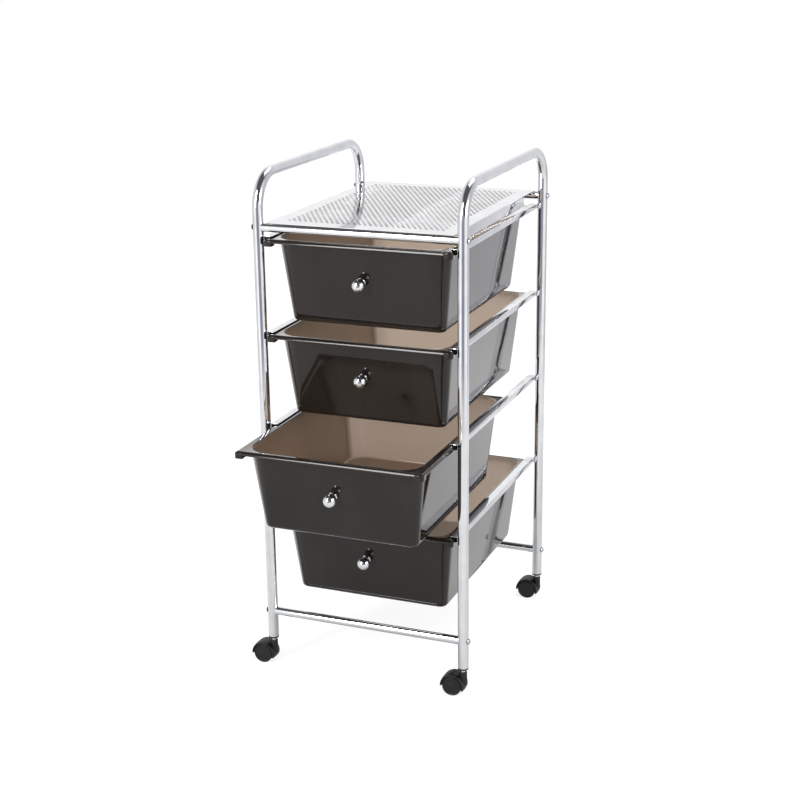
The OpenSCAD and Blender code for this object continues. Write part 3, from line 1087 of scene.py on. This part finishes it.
def scattered(shape: Mesh, places: Iterable[Sequence[float]], look: Material) -> Mesh:
    """Sets copies of a shape on points; those left of the cart's middle face left.

    Args:
        shape: The shape, which faces right.
        places: The points.
        look: Its material.

    Returns:
        One mesh with all copies.
    """
    holder = bpy.data.objects.new("shape", shape)
    values = {"Shape": holder, "Middle": box_of("frame_screws")[2].x, "Material": look}
    made = grown(raw_mesh(places), copies_tree(), values)
    bpy.data.objects.remove(holder)
    return smoothed(made)


# ---------------------------------------------------------------- the cart


def leg_centre(side: Side, end: End) -> Vector:
    """Gives a leg's centre, from the socket in it."""
    return box_of(f"socket_{end.word}_{side.word}")[2]


@dataclass
class TubeFrame:
    """Two bent side tubes, four cross bars and the screws that hold them."""

    tube_r: float = 8.0
    wall: float = 1.2
    bend_r: float = 50.0
    bar_r: float = 6.35
    # Between a leg and what meets it
    seat_gap: float = 0.1
    facets: int = 48
    bend_steps: int = 24
    # Extra points beside each bend keep the straight tube's shading straight
    guard: float = 3.0
    # Where a bar's cope meets its side, in degrees
    cope_angle: float = 50.0
    head_r: float = 5.0
    head_h: float = 3.0
    # The hexagonal socket, and the radius at which the dome starts round it
    socket_r: float = 1.6
    socket_depth: float = 1.5
    socket_rim: float = 1.792
    socket_sink: float = 0.05
    dome_shares: tuple[float, ...] = (0.0, 0.2, 0.45, 0.7, 0.9, 1.0)
    head_edge: float = 0.1
    shank_r: float = 2.0
    shank_length: float = 30.0
    screw_facets: int = 24

    def path(self, side: Side) -> list[Triple]:
        """Gives a side tube's centre line.

        Args:
            side: Which tube.

        Returns:
            Its points, from the front leg's foot to the rear one's.
        """
        low, high, middle = box_of(f"{side.word}_side_tube")
        front, rear = (leg_centre(side, end).y for end in End)
        bend, top = self.bend_r * MM, high.z - self.tube_r * MM
        reach = bend + self.guard * MM
        turn = rounding(bend, self.bend_steps)
        route = [(front, low.z), (front, top - reach)]
        route += [(front + u, top - v) for u, v in turn]
        route += [(front + reach, top), (rear - reach, top)]
        route += [(rear - v, top - u) for u, v in turn]
        route += [(rear, top - reach), (rear, low.z)]
        return [(middle.x, y, z) for y, z in route]

    def tube(self, side: Side, look: Material) -> Mesh:
        """Builds a side tube with its real wall.

        Args:
            side: Which tube.
            look: Its material.

        Returns:
            Its mesh.
        """
        points = self.path(side)
        line = raw_mesh(points, [(i, i + 1) for i in range(len(points) - 1)])
        values = {"Radius": self.tube_r * MM, "Facets": self.facets, "Material": look}
        skin = cleaned(grown(line, tube_tree(), values))
        # The wall grows inwards, so the skin has to face outwards
        if max(skin.polygons, key=lambda face: face.center.z).normal.z < 0:
            skin.flip_normals()
        return smoothed(modified(skin, "SOLIDIFY", thickness=self.wall * MM, offset=-1))

    def bar(self, node: str) -> Mesh:
        """Builds a cross bar whose ends are coped round the legs.

        Args:
            node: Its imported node.

        Returns:
            Its mesh.
        """
        _, _, middle = box_of(node)
        seat = (self.tube_r + self.seat_gap) * MM
        rings = []
        for side in Side:
            leg = leg_centre(side, End.FRONT).x
            rings.append([
                (leg - side.value * math.sqrt(seat * seat - y * y), middle.y + y, middle.z + z)
                for y, z in circle(self.bar_r * MM, self.facets)
            ])  # fmt: skip
        build = Mesher()
        build.loft(rings)
        return build.mesh(math.radians(self.cope_angle))

    def hexagon(self, height: float) -> list[Triple]:
        """Gives a ring of the screw's socket, with as many points as the round rings.

        Args:
            height: Its height over the seat.

        Returns:
            Its points.
        """
        sixth = math.pi / 3
        flat = self.socket_r * math.cos(sixth / 2)
        ring = []
        for k in range(self.screw_facets):
            a = 2 * math.pi * k / self.screw_facets
            reach = flat / math.cos(a % sixth - sixth / 2) * MM
            ring.append((height * MM, reach * math.cos(a), reach * math.sin(a)))
        return ring

    def screw(self) -> Mesh:
        """Builds a domed screw with a hexagonal socket, pointing along +X from its seat.

        Returns:
            Its mesh.
        """
        dome = (self.head_r**2 + self.head_h**2) / (2 * self.head_h)
        rim = self.socket_rim
        profile = []
        for share in self.dome_shares:
            radius = rim + (self.head_r - rim) * share
            profile.append((math.sqrt(dome**2 - radius**2) - dome + self.head_h, radius))
        socket = (self.head_h - self.socket_depth, profile[0][0] - self.socket_sink)
        shank = self.shank_r
        profile += [(0, self.head_r - self.head_edge), (0, shank), (-self.shank_length, shank)]
        rings = [self.hexagon(height) for height in socket]
        for height, radius in profile:
            points = circle(radius * MM, self.screw_facets)
            rings.append([(height * MM, y, z) for y, z in points])
        build = Mesher()
        build.loft(rings)
        return build.mesh()

    def screws(self, look: Material) -> Mesh:
        """Sets a screw on the outer side of each leg, at both bars' heights.

        Args:
            look: Their material.

        Returns:
            One mesh with all eight.
        """
        heights = [box_of(f"{row}_front_bar")[2].z for row in ("bottom", "top")]
        reach = (self.tube_r + self.seat_gap) * MM
        places = []
        for side in Side:
            for end in End:
                leg = leg_centre(side, end)
                places += [(leg.x + side.value * reach, leg.y, z) for z in heights]
        return scattered(self.screw(), places, look)

    def build(self, looks: Looks) -> None:
        """Makes and places every piece of the frame.

        Args:
            looks: The finishes.
        """
        look = looks["tube"]
        for side in Side:
            name, node = f"{side.word}_bent_tube", f"{side.word}_side_tube"
            put(name, self.tube(side, look), "frame", [look], node)
        for node in ("top_front_bar", "top_rear_bar", "bottom_front_bar", "bottom_rear_bar"):
            put(f"{node}_tube", self.bar(node), "frame", [looks["bar"]], node)
        look = looks["screw"]
        put("button_head_screws", self.screws(look), "frame", [look], "frame_screws")


@dataclass
class PerforatedShelf:
    """Sheet steel shelf: punched in staggered rows, folded down at its sides."""

    thickness: float = 1.0
    fold_r: float = 2.0
    fold_steps: int = 6
    # Half the length of the folded sides, which end before the legs
    wall_half: float = 132.0
    hole_pitch: float = 8.46
    row_pitch: float = 7.33
    hole_r: float = 2.5
    hole_facets: int = 10
    field_half_x: float = 119.0
    field_half_y: float = 168.5
    hook_h: float = 6.0
    hook_inset: float = 7.3
    edge: float = 0.2

    def build(self, looks: Looks) -> None:
        """Makes and places the shelf.

        Args:
            looks: The finishes.
        """
        box, look = box_of("top_shelf"), looks["sheet"]
        data = joined([self.sheet(box, look), self.folds(box)])
        put("perforated_shelf", data, "frame", [look], "top_shelf")

    def sheet(self, box: Box, look: Material) -> Mesh:
        """Builds the punched top.

        Args:
            box: The shelf's packed box.
            look: Its material.

        Returns:
            Its mesh.
        """
        low, high, middle = box
        left, right = low.x + self.fold_r * MM, high.x - self.fold_r * MM
        near, far = (middle.y + s * self.wall_half * MM for s in (-1, 1))
        outline = [
            (low.x, low.y), (high.x, low.y), (high.x, near), (right, near), (right, far),
            (high.x, far), (high.x, high.y), (low.x, high.y), (low.x, far), (left, far),
            (left, near), (low.x, near),
        ]  # fmt: skip
        count = len(outline)
        edges = [(i, (i + 1) % count) for i in range(count)]
        values = {
            "Pitch": self.hole_pitch * MM,
            "Row pitch": self.row_pitch * MM,
            "Hole radius": self.hole_r * MM,
            "Middle X": middle.x,
            "Middle Y": middle.y,
            "Half width": self.field_half_x * MM,
            # Two more than fit, since every second row is shifted; what lies outside is dropped
            "Columns": 2 * int(self.field_half_x / self.hole_pitch) + 3,
            "Rows": 2 * int(self.field_half_y / self.row_pitch) + 1,
            "Facets": self.hole_facets,
            "Thickness": self.thickness * MM,
            "Material": look,
        }
        data = grown(raw_mesh([(x, y, 0) for x, y in outline], edges), sheet_tree(), values)
        data.transform(Matrix.Translation((0, 0, high.z)))
        return data

    def folds(self, box: Box) -> Mesh:
        """Builds the two folded sides and the two hooks that keep the shelf between the bars.

        Args:
            box: The shelf's packed box.

        Returns:
            Their mesh.
        """
        low, high, middle = box
        sheet, outer = self.thickness * MM, self.fold_r * MM
        inner, axis = outer - sheet, high.z - outer
        bend = arc((0, axis), outer, 90, 0, self.fold_steps) + [(outer, low.z), (inner, low.z)]
        bend += arc((0, axis), inner, 0, 90, self.fold_steps)
        build = Mesher()
        for way, edge in ((1, high.x), (-1, low.x)):
            section = [(edge - way * (outer - x), z) for x, z in bend]
            ends = (middle.y - self.wall_half * MM, middle.y + self.wall_half * MM)
            build.loft([(x, y, z) for x, z in section] for y in ends)
        top, foot = high.z - sheet / 2, high.z - sheet - self.hook_h * MM
        for way, edge in ((1, high.y), (-1, low.y)):
            out = edge - way * self.hook_inset * MM
            hook = [(out, top), (out - way * sheet, top), (out - way * sheet, foot), (out, foot)]
            build.loft([(x, y, z) for y, z in hook] for x in (low.x, high.x))
        return softened(build.mesh(), self.edge)


@dataclass
class Runners:
    """Eight folded channels and the weld seams that hold them to the legs."""

    width: float = 12.0
    thickness: float = 1.0
    edge_r: float = 1.8
    edge_steps: int = 5
    lip_edge: float = 0.25
    # A seam's half sizes: outwards, along the runner and upwards
    seam: Triple = (1.9, 4.2, 2.4)
    seam_inset: float = 6.0
    seam_steps: int = 8
    seam_facets: int = 14

    def name(self, side: Side, i: int) -> str:
        """Gives the name of a runner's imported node."""
        return f"{side.word}_runner_{i}"

    def lips(self, side: Side, i: int) -> float:
        """Gives where the lips of a runner end, across the cart."""
        low, high, _ = box_of(self.name(side, i))
        return low.x if side is Side.RIGHT else high.x

    def channel(self, side: Side, i: int) -> Mesh:
        """Builds one runner.

        Args:
            side: Its side.
            i: Its number.

        Returns:
            Its mesh.
        """
        low, high, _ = box_of(self.name(side, i))
        lips, height = self.lips(side, i), (high.z - low.z) / MM
        outer, inner = self.edge_r, self.edge_r - self.thickness
        x, steps = self.width - outer, self.edge_steps
        # The section, outwards from the lips' ends and upwards
        section = [(0.0, 0.0), *arc((x, outer), outer, -90, 0, steps)]
        section += arc((x, height - outer), outer, 0, 90, steps)
        section += [(0.0, height), (0.0, height - self.thickness)]
        section += arc((x, height - outer), inner, 90, 0, steps)
        section += [*arc((x, outer), inner, 0, -90, steps), (0.0, self.thickness)]
        flat = [(lips + side.value * u * MM, low.z + v * MM) for u, v in section]
        build = Mesher()
        build.loft([(u, leg_centre(side, end).y, v) for u, v in flat] for end in End)
        return softened(build.mesh(), self.lip_edge)

    def seams(self, look: Material) -> Mesh:
        """Sets a weld seam at each meeting of a runner and a leg.

        Args:
            look: Their material.

        Returns:
            One mesh with all of them.
        """
        across, along, tall = self.seam
        build = Mesher()
        profile = arc((0, 0), 1, 180, 0, self.seam_steps)[1:-1]
        build.lathe(profile, lambda x, y, h: (x * across, h * along, y * tall), self.seam_facets)
        places = []
        for side in Side:
            for i in NUMBERS:
                x = self.lips(side, i) + side.value * self.width * MM
                z = box_of(self.name(side, i))[2].z
                for end in End:
                    y = leg_centre(side, end).y - end.value * self.seam_inset * MM
                    places.append((x, y, z))
        return scattered(build.mesh(), places, look)

    def build(self, looks: Looks) -> None:
        """Makes and places the runners and their seams.

        Args:
            looks: The finishes.
        """
        look = looks["rail"]
        for side in Side:
            for i in NUMBERS:
                node = self.name(side, i)
                put(f"{node}_channel", self.channel(side, i), "frame", [look], node)
        put("weld_seams", self.seams(look), "frame", [look])


@dataclass
class Drawers:
    """Four moulded trays with their rims, stops and knobs."""

    wall: float = 2.0
    floor: float = 2.2
    rim_t: float = 2.0
    rim_h: float = 5.5
    rim_corner: float = 4.0
    # The rim's rounded outer edge and the small roundings of its lower lip
    rim_edge: float = 5.0
    rim_steps: int = 8
    rim_guard: float = 0.6
    least_corner: float = 0.6
    lip_edge: float = 0.3
    # How far the wall's inner face stands in from the rim: at the top, and how much more below
    rim_side: float = 13.5
    rim_front: float = 8.0
    rim_rear: float = 7.0
    side_taper: float = 13.4
    front_taper: float = 30.0
    rear_taper: float = 12.7
    # Radii of the inner corners, the front ones at the top and at the foot
    front_corner: float = 31.0
    front_foot: float = 10.0
    rear_corner: float = 28.0
    foot_r: float = 6.0
    foot_steps: int = 6
    inner_foot_steps: int = 4
    edge: float = 0.7
    edge_steps: int = 3
    corner_steps: int = 12
    # Angle in degrees from which an edge is drawn hard
    hard_angle: float = 45.0
    # Extra points beside each rounding keep the flat walls' shading flat
    guard: float = 2.0
    stop_w: float = 13.0
    stop_depth: float = 11.7
    stop_h: float = 5.0
    stop_edge: float = 0.5
    stop_steps: int = 5
    # The ball knob, and the cove of its neck, which swells and narrows by this much
    knob_r: float = 10.0
    knob_neck: float = 0.4
    knob_neck_r: float = 4.0
    knob_cove: float = 0.4
    knob_foot_r: float = 6.5
    knob_foot_t: float = 1.0
    # The foot's edge: heights and distances inside its radius, from its middle outwards
    knob_foot_edge: tuple[Pair, ...] = ((0.0, 6.2), (0.0, 0.1), (0.1, 0.0), (0.3, 0.0))
    # How much wider the neck is at the foot and at the ball, and the flat at the ball's pole
    knob_flare: Pair = (0.5, 0.35)
    knob_pole: float = 0.02
    knob_facets: int = 48
    cove_steps: int = 8
    ball_steps: int = 20
    knob_hard_angle: float = 50.0

    def plan(self, low: Pair, high: Pair, radii: Pair, z: float) -> list[Triple]:
        """Gives a rounded rectangle, counter-clockwise from its front right corner.

        Args:
            low: Left and front, in metres.
            high: Right and rear, in metres.
            radii: Radius of the front corners and of the rear ones, in metres.
            z: Height, in metres.

        Returns:
            The ring, with guard points beside each corner.
        """
        front, rear = radii
        guard = self.guard * MM
        corners = [
            (high[0] - front, low[1] + front, front, -90),
            (high[0] - rear, high[1] - rear, rear, 0),
            (low[0] + rear, high[1] - rear, rear, 90),
            (low[0] + front, low[1] + front, front, 180),
        ]
        ring = []
        for x, y, radius, start in corners:
            turn = arc((x, y), radius, start, start + 90, self.corner_steps)
            for (u, v), angle, way in ((turn[0], start, 1), (turn[-1], start + 90, -1)):
                a = math.radians(angle)
                beside = (u + way * guard * math.sin(a), v - way * guard * math.cos(a))
                turn = [beside, *turn] if way > 0 else [*turn, beside]
            ring += [(u, v, z) for u, v in turn]
        return ring

    def wall_ring(self, box: Box, grow: float, down: float, step: float = 0.0) -> list[Triple]:
        """Gives a ring of the tray's wall.

        Args:
            box: The drawer's packed box.
            grow: Distance outside the inner face.
            down: Depth below the rim's top.
            step: Extra inset at the rounded foot.

        Returns:
            The ring's points.
        """
        low, high, _ = box
        share, inset = down * MM / (high.z - low.z), step - grow
        front = self.front_corner + (self.front_foot - self.front_corner) * share - inset
        side_in = (self.rim_side + self.side_taper * share + inset) * MM
        front_in = (self.rim_front + self.front_taper * share + inset) * MM
        rear_in = (self.rim_rear + self.rear_taper * share + inset) * MM
        return self.plan(
            (low.x + side_in, low.y + front_in),
            (high.x - side_in, high.y - rear_in),
            (front * MM, (self.rear_corner - inset) * MM),
            high.z - down * MM,
        )

    def rim_ring(self, box: Box, inset: float, down: float) -> list[Triple]:
        """Gives a ring of the rim.

        Args:
            box: The drawer's packed box.
            inset: Distance inside the rim's outline.
            down: Depth below the rim's top.

        Returns:
            The ring's points.
        """
        low, high, _ = box
        corner, inwards = max(self.rim_corner - inset, self.least_corner) * MM, inset * MM
        return self.plan(
            (low.x + inwards, low.y + inwards),
            (high.x - inwards, high.y - inwards),
            (corner, corner),
            high.z - down * MM,
        )

    def tray(self, i: int) -> Mesh:
        """Builds one drawer: the inside with material 1, the rest with material 0.

        Args:
            i: Its number.

        Returns:
            Its mesh.
        """
        box = box_of(f"drawer_{i}")
        depth = (box[1].z - box[0].z) / MM
        foot, floor = self.foot_r - self.wall, depth - self.floor
        inside = [(0.0, floor - v, u) for u, v in reversed(rounding(foot, self.inner_foot_steps))]
        inside += [(0.0, floor - foot - self.guard), (0.0, self.guard + self.edge)]
        edge = rounding(self.edge, self.edge_steps)
        top, lip, deep = self.rim_t, self.lip_edge, self.rim_h
        rim = [(self.rim_edge + self.rim_guard, 0.0)]
        rim += reversed(rounding(self.rim_edge, self.rim_steps))
        rim += [(0, deep - lip), (lip, deep), (top - lip, deep), (top, deep - lip)]
        rim += [(top, top + lip), (top + lip, top)]
        heights = (top, top + self.guard, depth - self.foot_r - self.guard)
        outside = [(self.wall, down) for down in heights]
        outside += [(self.wall, depth - v, u) for u, v in rounding(self.foot_r, self.foot_steps)]
        build = Mesher()
        rings = [self.wall_ring(box, *ring) for ring in [*inside, *edge]]
        rings += [self.rim_ring(box, *ring) for ring in rim]
        rings += [self.wall_ring(box, *ring) for ring in outside]
        build.loft(rings, len(inside))
        return build.mesh(math.radians(self.hard_angle))

    def stops(self, i: int) -> Mesh:
        """Builds the two stop blocks under a drawer's front corners.

        Args:
            i: The drawer's number.

        Returns:
            Their mesh.
        """
        low, high, _ = box_of(f"drawer_{i}")
        plan = [(0.0, self.stop_depth), (self.stop_w, self.stop_depth), (self.stop_w, 0.0)]
        plan += [(v, u) for u, v in rounding(self.rim_corner, self.stop_steps)]
        heights = (high.z - self.rim_t * MM, high.z - (self.rim_h + self.stop_h) * MM)
        build = Mesher()
        for way, edge in ((1, high.x), (-1, low.x)):
            block = [(edge - way * x * MM, low.y + y * MM) for x, y in plan]
            build.loft([(x, y, z) for x, y in block] for z in heights)
        return softened(build.mesh(), self.stop_edge, 3)

    def knob(self, i: int) -> Mesh:
        """Builds a ball knob: foot, cove and ball in one turned profile.

        Args:
            i: The drawer's number.

        Returns:
            Its mesh.
        """
        low, _, middle = box_of(f"knob_{i}")
        drawer = box_of(f"drawer_{i}")
        radius, neck, wide, cove = self.knob_r, self.knob_neck_r, self.knob_foot_r, self.knob_cove
        # The axis stands square on the leaning front
        tilt = math.atan(self.front_taper * MM / (drawer[1].z - drawer[0].z))
        axis, side = Vector((0, -math.cos(tilt), -math.sin(tilt))), Vector((1, 0, 0))
        up = axis.cross(side)
        reach = self.knob_foot_t + self.knob_neck + radius
        foot = Vector((middle.x, low.y + radius * MM, middle.z)) - axis * reach * MM
        profile = [(height, wide - inset) for height, inset in self.knob_foot_edge]
        profile.append((self.knob_foot_t, neck + self.knob_flare[0]))
        meet = math.asin((neck + self.knob_flare[1]) / radius)
        start, stop = self.knob_foot_t, reach - radius * math.cos(meet)
        for share in (k / self.cove_steps for k in range(1, self.cove_steps)):
            bow = 1 - (2 * share - 1) ** 2
            profile.append((start + (stop - start) * share, neck + cove - 2 * cove * bow))
        ball = arc((reach, 0), radius, 180 - math.degrees(meet), 0, self.ball_steps)
        profile += [(h, max(r, self.knob_pole)) for h, r in ball]
        build = Mesher()
        build.lathe(profile, lambda x, y, h: foot + axis * h + side * x + up * y, self.knob_facets)
        return build.mesh(math.radians(self.knob_hard_angle))

    def build(self, looks: Looks) -> None:
        """Makes and places the drawers, knobs and stops.

        Args:
            looks: The finishes.
        """
        # The inner faces take the copy of the smoked plastic that is painted lighter
        smoke, inside, knob = looks["smoke"], looks["smoke painted lit inside"], looks["knob"]
        for i in NUMBERS:
            body, node = f"drawer_{i}_body", f"drawer_{i}"
            put(f"drawer_tray_{i}", self.tray(i), body, [smoke, inside], node)
            put(f"drawer_stops_{i}", self.stops(i), body, [smoke])
            put(f"ball_knob_{i}", self.knob(i), body, [knob], f"knob_{i}")
            dress(f"knob_screw_{i}", looks["screw"])


@dataclass
class Caster:
    """One swiveling caster with its hood, pin and two wheels."""

    side: Side
    end: End
    hood_gap: float = 1.0
    hood_wall: float = 3.0
    hood_edge: float = 0.3
    # The shell's outside bulges by this much, drawn at these shares of its half width
    crown: float = 0.5
    crown_shares: tuple[float, ...] = (-0.6, -0.3, 0.0, 0.3, 0.6)
    # How far below the axle's height it reaches, in degrees
    front_angle: float = 18.0
    rear_angle: float = 4.0
    edge: float = 1.2
    edge_steps: int = 3
    arc_steps: int = 40
    # The web between the wheels: thickness, reach into the shell, and cut below the axle
    web: float = 5.0
    web_sink: float = 0.6
    web_drop: float = 8.0
    web_steps: int = 36
    boss_r: float = 6.0
    boss_edge: float = 0.9
    # The boss ends this much below the hood's box, which bares the pin as in the photo
    boss_low: float = 1.6
    # Least height of the boss's foot over the axle
    boss_foot: float = 2.0
    boss_facets: int = 40
    wheel_edge: float = 1.3
    wheel_facets: int = 56
    wheel_hard_angle: float = 32.0
    # The outer face's rim and hub: radius as a share of the wheel's, then the step's profile as
    # depths under the wheel's side and distances outside that radius
    rim_share: float = 0.86
    rim_profile: tuple[Pair, ...] = ((0.05, 0.5), (0.35, 0.0), (0.9, -0.6))
    hub_share: float = 0.3
    hub_profile: tuple[Pair, ...] = ((0.9, 0.6), (0.45, 0.0), (0.4, -0.5))
    # Radius of the flat faces that close the turned shape on its axis
    core: float = 0.1
    # The axle's blind bore in a wheel: its radius with clearance, and its depth
    bore_r: float = 2.05
    bore_depth: float = 7.2

    @property
    def name(self) -> str:
        """The caster's corner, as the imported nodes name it."""
        return f"{self.end.word}_{self.side.word}"

    def wheel(self, face: Face) -> Mesh:
        """Builds a wheel with a rounded tread, a dished outer face and the axle's blind bore.

        Args:
            face: Which wheel of the pair.

        Returns:
            Its mesh.
        """
        low, high, middle = box_of(f"{face.word}_wheel_{self.name}")
        radius, width = (high.z - low.z) / 2 / MM, (high.y - low.y) / MM
        inner = high.y if face is Face.NEAR else low.y
        turn = rounding(self.wheel_edge, self.edge_steps)
        depth = self.bore_depth
        profile = [(depth, self.core), (depth, self.bore_r), (0.0, self.bore_r)]
        profile += [(u, radius - v) for u, v in turn]
        profile.append((width / 2, radius))
        profile += [(width - u, radius - v) for u, v in reversed(turn)]
        rim, hub = (self.rim_share, self.rim_profile), (self.hub_share, self.hub_profile)
        for share, steps in (rim, hub):
            profile += [(width - down, radius * share + out) for down, out in steps]
        profile.append((profile[-1][0], self.core))
        build = Mesher()
        build.lathe(
            profile,
            lambda x, y, h: (middle.x + x, inner + face.value * h, middle.z + y),
            self.wheel_facets,
        )
        return build.mesh(math.radians(self.wheel_hard_angle))

    def hood(self) -> Mesh:
        """Builds the hood: a shell over both wheels, the web between them and the boss.

        Returns:
            Its mesh.
        """
        near_low, near_high, axle = box_of(f"near_wheel_{self.name}")
        far_high, hood_high = (box_of(f"{n}_{self.name}")[1] for n in ("far_wheel", "hood"))
        leg = leg_centre(self.side, self.end)
        centre = Vector((axle.x, leg.y, axle.z))
        inner = (near_high.z - near_low.z) / 2 / MM + self.hood_gap
        outer = inner + self.hood_wall
        body, neck = Mesher(), Mesher()
        self.shell(body, centre, (inner, outer), (far_high.y - near_low.y) / 2 / MM)
        self.plate(body, centre, inner + self.web_sink)
        top = (hood_high.z - centre.z) / MM - self.boss_low
        self.boss(neck, leg, centre, ((inner + outer) / 2, top))
        return joined([softened(body.mesh(), self.hood_edge), neck.mesh()])

    def shell(self, build: Mesher, centre: Vector, radii: Pair, half: float) -> None:
        """Adds the wall over the wheels, with a crowned outside and rounded edges.

        Args:
            build: What it is added to.
            centre: The axle's middle, in metres.
            radii: Its inner and outer radius.
            half: Half its width.
        """
        inner, side = radii[0], radii[1] - self.crown
        turn = rounding(self.edge, self.edge_steps)
        section = [(-half, inner), *((u - half, side - v) for u, v in turn)]
        section += [(half * s, radii[1] - self.crown * s * s) for s in self.crown_shares]
        section += [*((half - u, side - v) for u, v in reversed(turn)), (half, inner)]
        spokes = arc((0, 0), 1, -self.front_angle, 180 + self.rear_angle, self.arc_steps)
        build.loft(
            [centre + Vector((r * x, y, r * z)) * MM for y, r in section] for x, z in spokes
        )

    def plate(self, build: Mesher, centre: Vector, reach: float) -> None:
        """Adds the web between the wheels, cut off below the axle.

        Args:
            build: What it is added to.
            centre: The axle's middle, in metres.
            reach: Its radius.
        """
        dip = math.degrees(math.asin(self.web_drop / reach))
        outline = arc((0, 0), reach, -dip, 180 + dip, self.web_steps)
        half = self.web / 2
        build.loft([centre + Vector((x, y, z)) * MM for x, z in outline] for y in (-half, half))

    def boss(self, build: Mesher, leg: Vector, centre: Vector, span: Pair) -> None:
        """Adds the neck round the pin, whose lower end is sunk into the shell's wall.

        Args:
            build: What it is added to.
            leg: The leg's centre, in metres.
            centre: The axle's middle, in metres.
            span: Radius on which the lower end sits, and height of the top over the axle.
        """
        seat, top = span
        count, off = self.boss_facets, (leg.x - centre.x) / MM
        sits = [math.sqrt(max(seat**2 - (off + x) ** 2, 0)) for x, _ in circle(self.boss_r, count)]
        feet = [max(self.boss_foot, height) for height in sits]
        rows = [(self.boss_r, feet), (self.boss_r, [(foot + top) / 2 for foot in feet])]
        turn = rounding(self.boss_edge, self.edge_steps)
        rows += [(self.boss_r - u, [top - v] * count) for u, v in turn]
        base = Vector((leg.x, leg.y, centre.z))
        build.loft(
            [base + Vector((x, y, z)) * MM for (x, y), z in zip(circle(radius, count), heights)]
            for radius, heights in rows
        )

    def build(self, looks: Looks) -> None:
        """Makes and places the caster's pieces.

        Args:
            looks: The finishes.
        """
        hood, nylon, tread = f"hood_{self.name}", looks["nylon"], looks["tread"]
        put(f"{hood}_shell", self.hood(), f"caster_{self.name}", [nylon], hood)
        for face in Face:
            node = f"{face.word}_wheel_{self.name}"
            put(f"{node}_tread", self.wheel(face), f"{node}_body", [tread], node)
        for part, look in (("stem", looks["pin"]), ("axle", looks["pin"]), ("socket", nylon)):
            dress(f"{part}_{self.name}", look)


def finishes() -> Looks:
    """Makes every finish of the cart.

    Returns:
        The materials by the name that the pieces use.
    """
    rolled = (1, 30, 1)
    made = {
        "tube": ChromePlate("chromed drawn tube"),
        "bar": ChromePlate("chromed drawn bar", stretch=(30, 1, 1)),
        "sheet": ChromePlate(
            "chromed cold rolled sheet", polish=0.03, haze=0.075, stretch=rolled, peel=14
        ),
        "rail": ChromePlate("chromed folded rail", polish=0.05, haze=0.12, stretch=rolled),
        "knob": ChromePlate("chromed turned knob", haze=0.06, grain=0.8, peel=5),
        "pin": ZincPlate("bright zinc plated pin", "#E6E7EA", "#D2D4D9"),
        "screw": ZincPlate("bright zinc plated screw", "#D6D7DC", "#B9BBC2"),
        "smoke": SmokedStyrene("smoked polystyrene"),
        # Painted light: the inner faces get a copy of the same plastic with a lighter colour and
        # bright glow tints, so that the insides show lit
        "smoke painted lit inside": SmokedStyrene(
            "smoked polystyrene seen from inside",
            colour="#3A3028",
            streak="#46392F",
            gleam=0.5,
            gloss=0.22,
            scuffed=0.32,
            glow="#BFB1A5",
            glow_sides="#655649",
            glow_rear="#B4ACA4",
            slant=(0.98, 1.0),
        ),
        "nylon": MouldedNylon("black moulded nylon"),
        "tread": MouldedNylon("black moulded wheel nylon", "#0B0B0C", "#141416", 0.38, 0.6),
    }
    return {name: finish.build() for name, finish in made.items()}


def main() -> None:
    """Builds the cart's looks, the studio and the camera."""
    logging.basicConfig(level=logging.INFO, format="%(name)s: %(message)s")
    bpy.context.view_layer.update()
    bpy.context.scene.view_settings.view_transform = "Standard"
    Viewpoint().build()
    Studio().build()
    looks = finishes()
    for part in (TubeFrame(), PerforatedShelf(), Runners(), Drawers()):
        part.build(looks)
    for end in End:
        for side in Side:
            Caster(side, end).build(looks)


if __name__ == "__main__":
    main()
